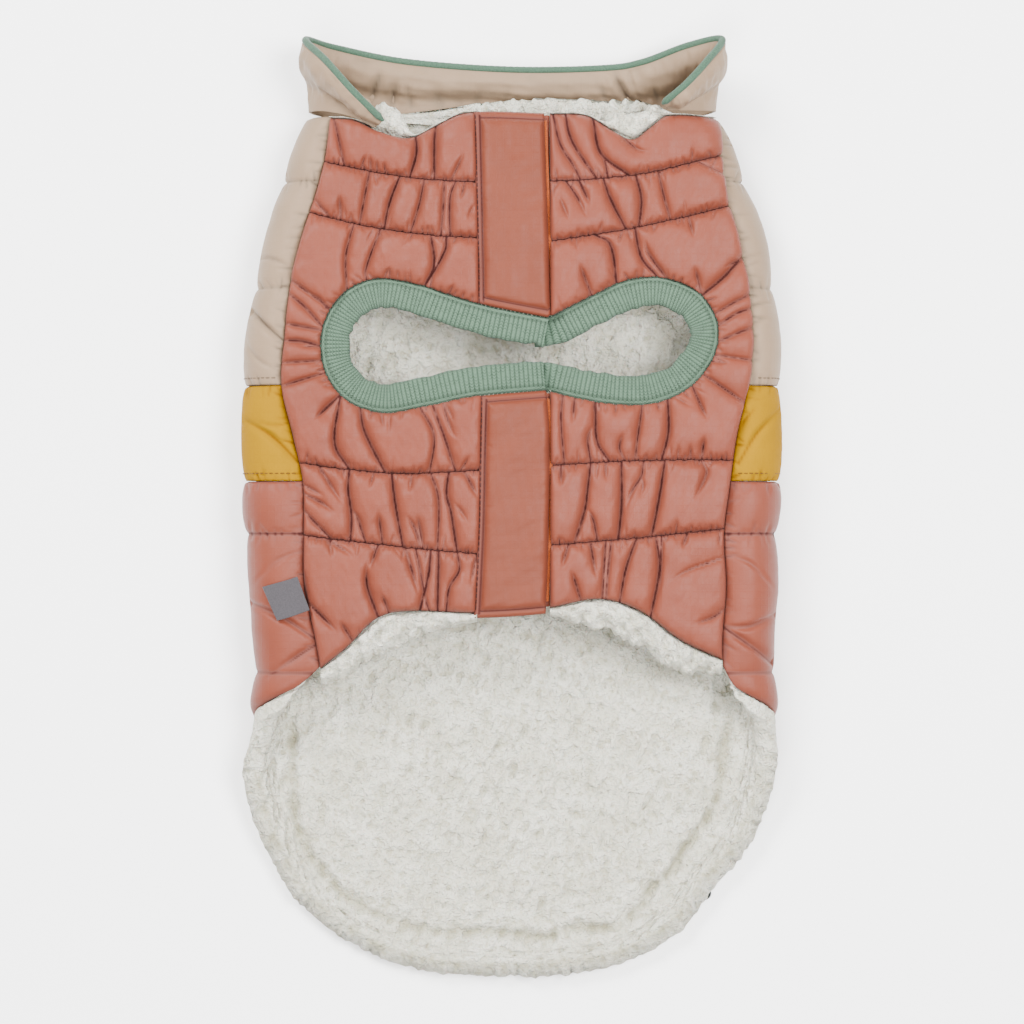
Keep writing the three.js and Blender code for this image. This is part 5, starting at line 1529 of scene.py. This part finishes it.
def make_stopper():
    radius, thick = STOPPER["radius"], STOPPER["thick"]
    angle = math.radians(STOPPER["turn"])
    reach = float(tail_right(STOPPER["turn"])) + STOPPER["past"] - radius
    cx, cy = reach * math.cos(angle), TAIL_CENTRE - reach * math.sin(angle)
    rings = [(0, 0.1), (radius - 0.8, 0.1), (radius - 0.2, 0.5), (radius, thick / 2), (radius - 0.2, thick - 0.4),
             (radius - 0.8, thick), (1.1, thick), (0.9, thick - 0.4), (0, thick - 0.4)]
    turn = np.linspace(0, 2 * math.pi, 33)[:-1]
    points = np.array([[cx + out * math.cos(a), cy + out * math.sin(a), up] for out, up in rings for a in turn])
    index = np.arange(len(points)).reshape(len(rings), 32)
    a, b = index[:-1], index[1:]
    faces = np.stack([a, np.roll(a, -1, 1), np.roll(b, -1, 1), b], axis=-1).reshape(-1, 4)
    piece = make("hem_stopper_knob", points, [faces], BLACK)
    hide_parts("hem_stopper")
    return piece


stopper = make_stopper()


def stitches(name, lines, material, pitch=2.6, long=2.0, radius=0.28):
    """A seam's stitches, as small rounded threads in one piece."""
    turn = np.arange(6) / 6 * 2 * math.pi
    rings = [(-0.5, 0.0), (-0.42, 0.7), (-0.2, 1.0), (0.2, 1.0), (0.42, 0.7), (0.5, 0.0)]
    points, faces, start = [], [], 0
    for line in lines:
        if len(line) < 3:
            continue
        gaps = np.linalg.norm(np.diff(line, axis=0), axis=1)
        length = np.concatenate([[0], np.cumsum(gaps)])
        for at in np.arange(pitch / 2, length[-1] - pitch / 2, pitch):
            ends = [np.array([np.interp(at + s * long / 2, length, line[:, k]) for k in range(3)]) for s in (-1, 1)]
            if np.linalg.norm(ends[1] - ends[0]) > long * 1.3:
                continue
            middle, on = (ends[0] + ends[1]) / 2, ends[1] - ends[0]
            on /= max(np.linalg.norm(on), 1e-6)
            side = np.cross(on, [0, 0, 1.0])
            side /= max(np.linalg.norm(side), 1e-6)
            top = np.cross(side, on)
            for share, wide in rings:
                ring = middle + on * share * long + radius * wide * (
                    np.cos(turn)[:, None] * side + np.sin(turn)[:, None] * top)
                points.append(ring)
            index = start + np.arange(36).reshape(6, 6)
            a, b = index[:-1], index[1:]
            faces.append(np.stack([a, b, np.roll(b, -1, 1), np.roll(a, -1, 1)], axis=-1).reshape(-1, 4))
            start += 36
    return make(name, np.concatenate(points), [np.concatenate(faces)], material)


stitches("belly_stitches", seams_left + seams_right + chest_seams + tummy_seams, THREAD)
stitches("rib_stitches", [rib_seam_left, rib_seam_right], SAGE_THREAD, 1.9, 1.5, 0.3)


def side_lines(y_line, offset):
    """A topstitch across each side of the back, beside a seam."""
    made = []
    for side in (LEFT, RIGHT):
        cut = tube_rows(side, np.array([y_line + offset]))
        along = np.linspace(0.25 * math.pi * cut["half"][0], cut["edge"][0] - 1, 120)[None]
        bare = section_points(cut, along, 0.0)
        turn = along / cut["half"][:, None]
        puff = back_height(side, bare[..., 0], bare[..., 1], turn, cut["edge"][:, None] - along, 3 + side)
        made.append(section_points(cut, along, -0.1, puff)[0])
    return made


stitches("yoke_stitches", side_lines(YOKE_SEAM, 3.4), SAND_THREAD)
stitches("band_stitches", side_lines(BAND_SEAM, 3.6), GOLD_THREAD)

# Floor, light and camera


def area_light(name, place, size, power, target=(0, 0, 0.02)):
    light = bpy.data.lights.new(name, "AREA")
    light.shape, light.size, light.energy = "DISK", size, power
    lamp = bpy.data.objects.new(name, light)
    bpy.context.collection.objects.link(lamp)
    lamp.location = place
    from mathutils import Vector
    lamp.rotation_euler = (Vector(target) - Vector(place)).to_track_quat("-Z", "Y").to_euler()


floor_mesh = bpy.data.meshes.new("floor")
floor_mesh.from_pydata([(-3, -3, -0.0002), (3, -3, -0.0002), (3, 3, -0.0002), (-3, 3, -0.0002)], [], [(0, 1, 2, 3)])
floor = bpy.data.objects.new("floor", floor_mesh)
bpy.context.collection.objects.link(floor)
floor_look = Nodes("white_floor")
floor_mesh.materials.append(floor_look.finish((0.97, 0.97, 0.97, 1), 0.9, None))

area_light("key", (-0.95, 1.15, 1.4), 0.9, 94)
area_light("fill", (0.8, 0.25, 1.6), 0.9, 80)
area_light("front", (-0.3, -0.55, 1.62), 0.9, 34)
world = bpy.data.worlds.new("studio")
world.use_nodes = True
world.node_tree.nodes["Background"].inputs[0].default_value = (1, 1, 1, 1)
world.node_tree.nodes["Background"].inputs[1].default_value = 1.05
bpy.context.scene.world = world

FRAME_WIDE = 460.8  # width of the picture at the belly's height
LENS, SENSOR = 130, 36
camera_data = bpy.data.cameras.new("camera")
camera_data.lens, camera_data.sensor_width = LENS, SENSOR
camera = bpy.data.objects.new("camera", camera_data)
bpy.context.collection.objects.link(camera)
camera.location = ((0.68 + SHIFT[0]) * MM, (-2.7 + SHIFT[1]) * MM, (FRAME_WIDE * LENS / SENSOR + 25) * MM)
bpy.context.scene.camera = camera
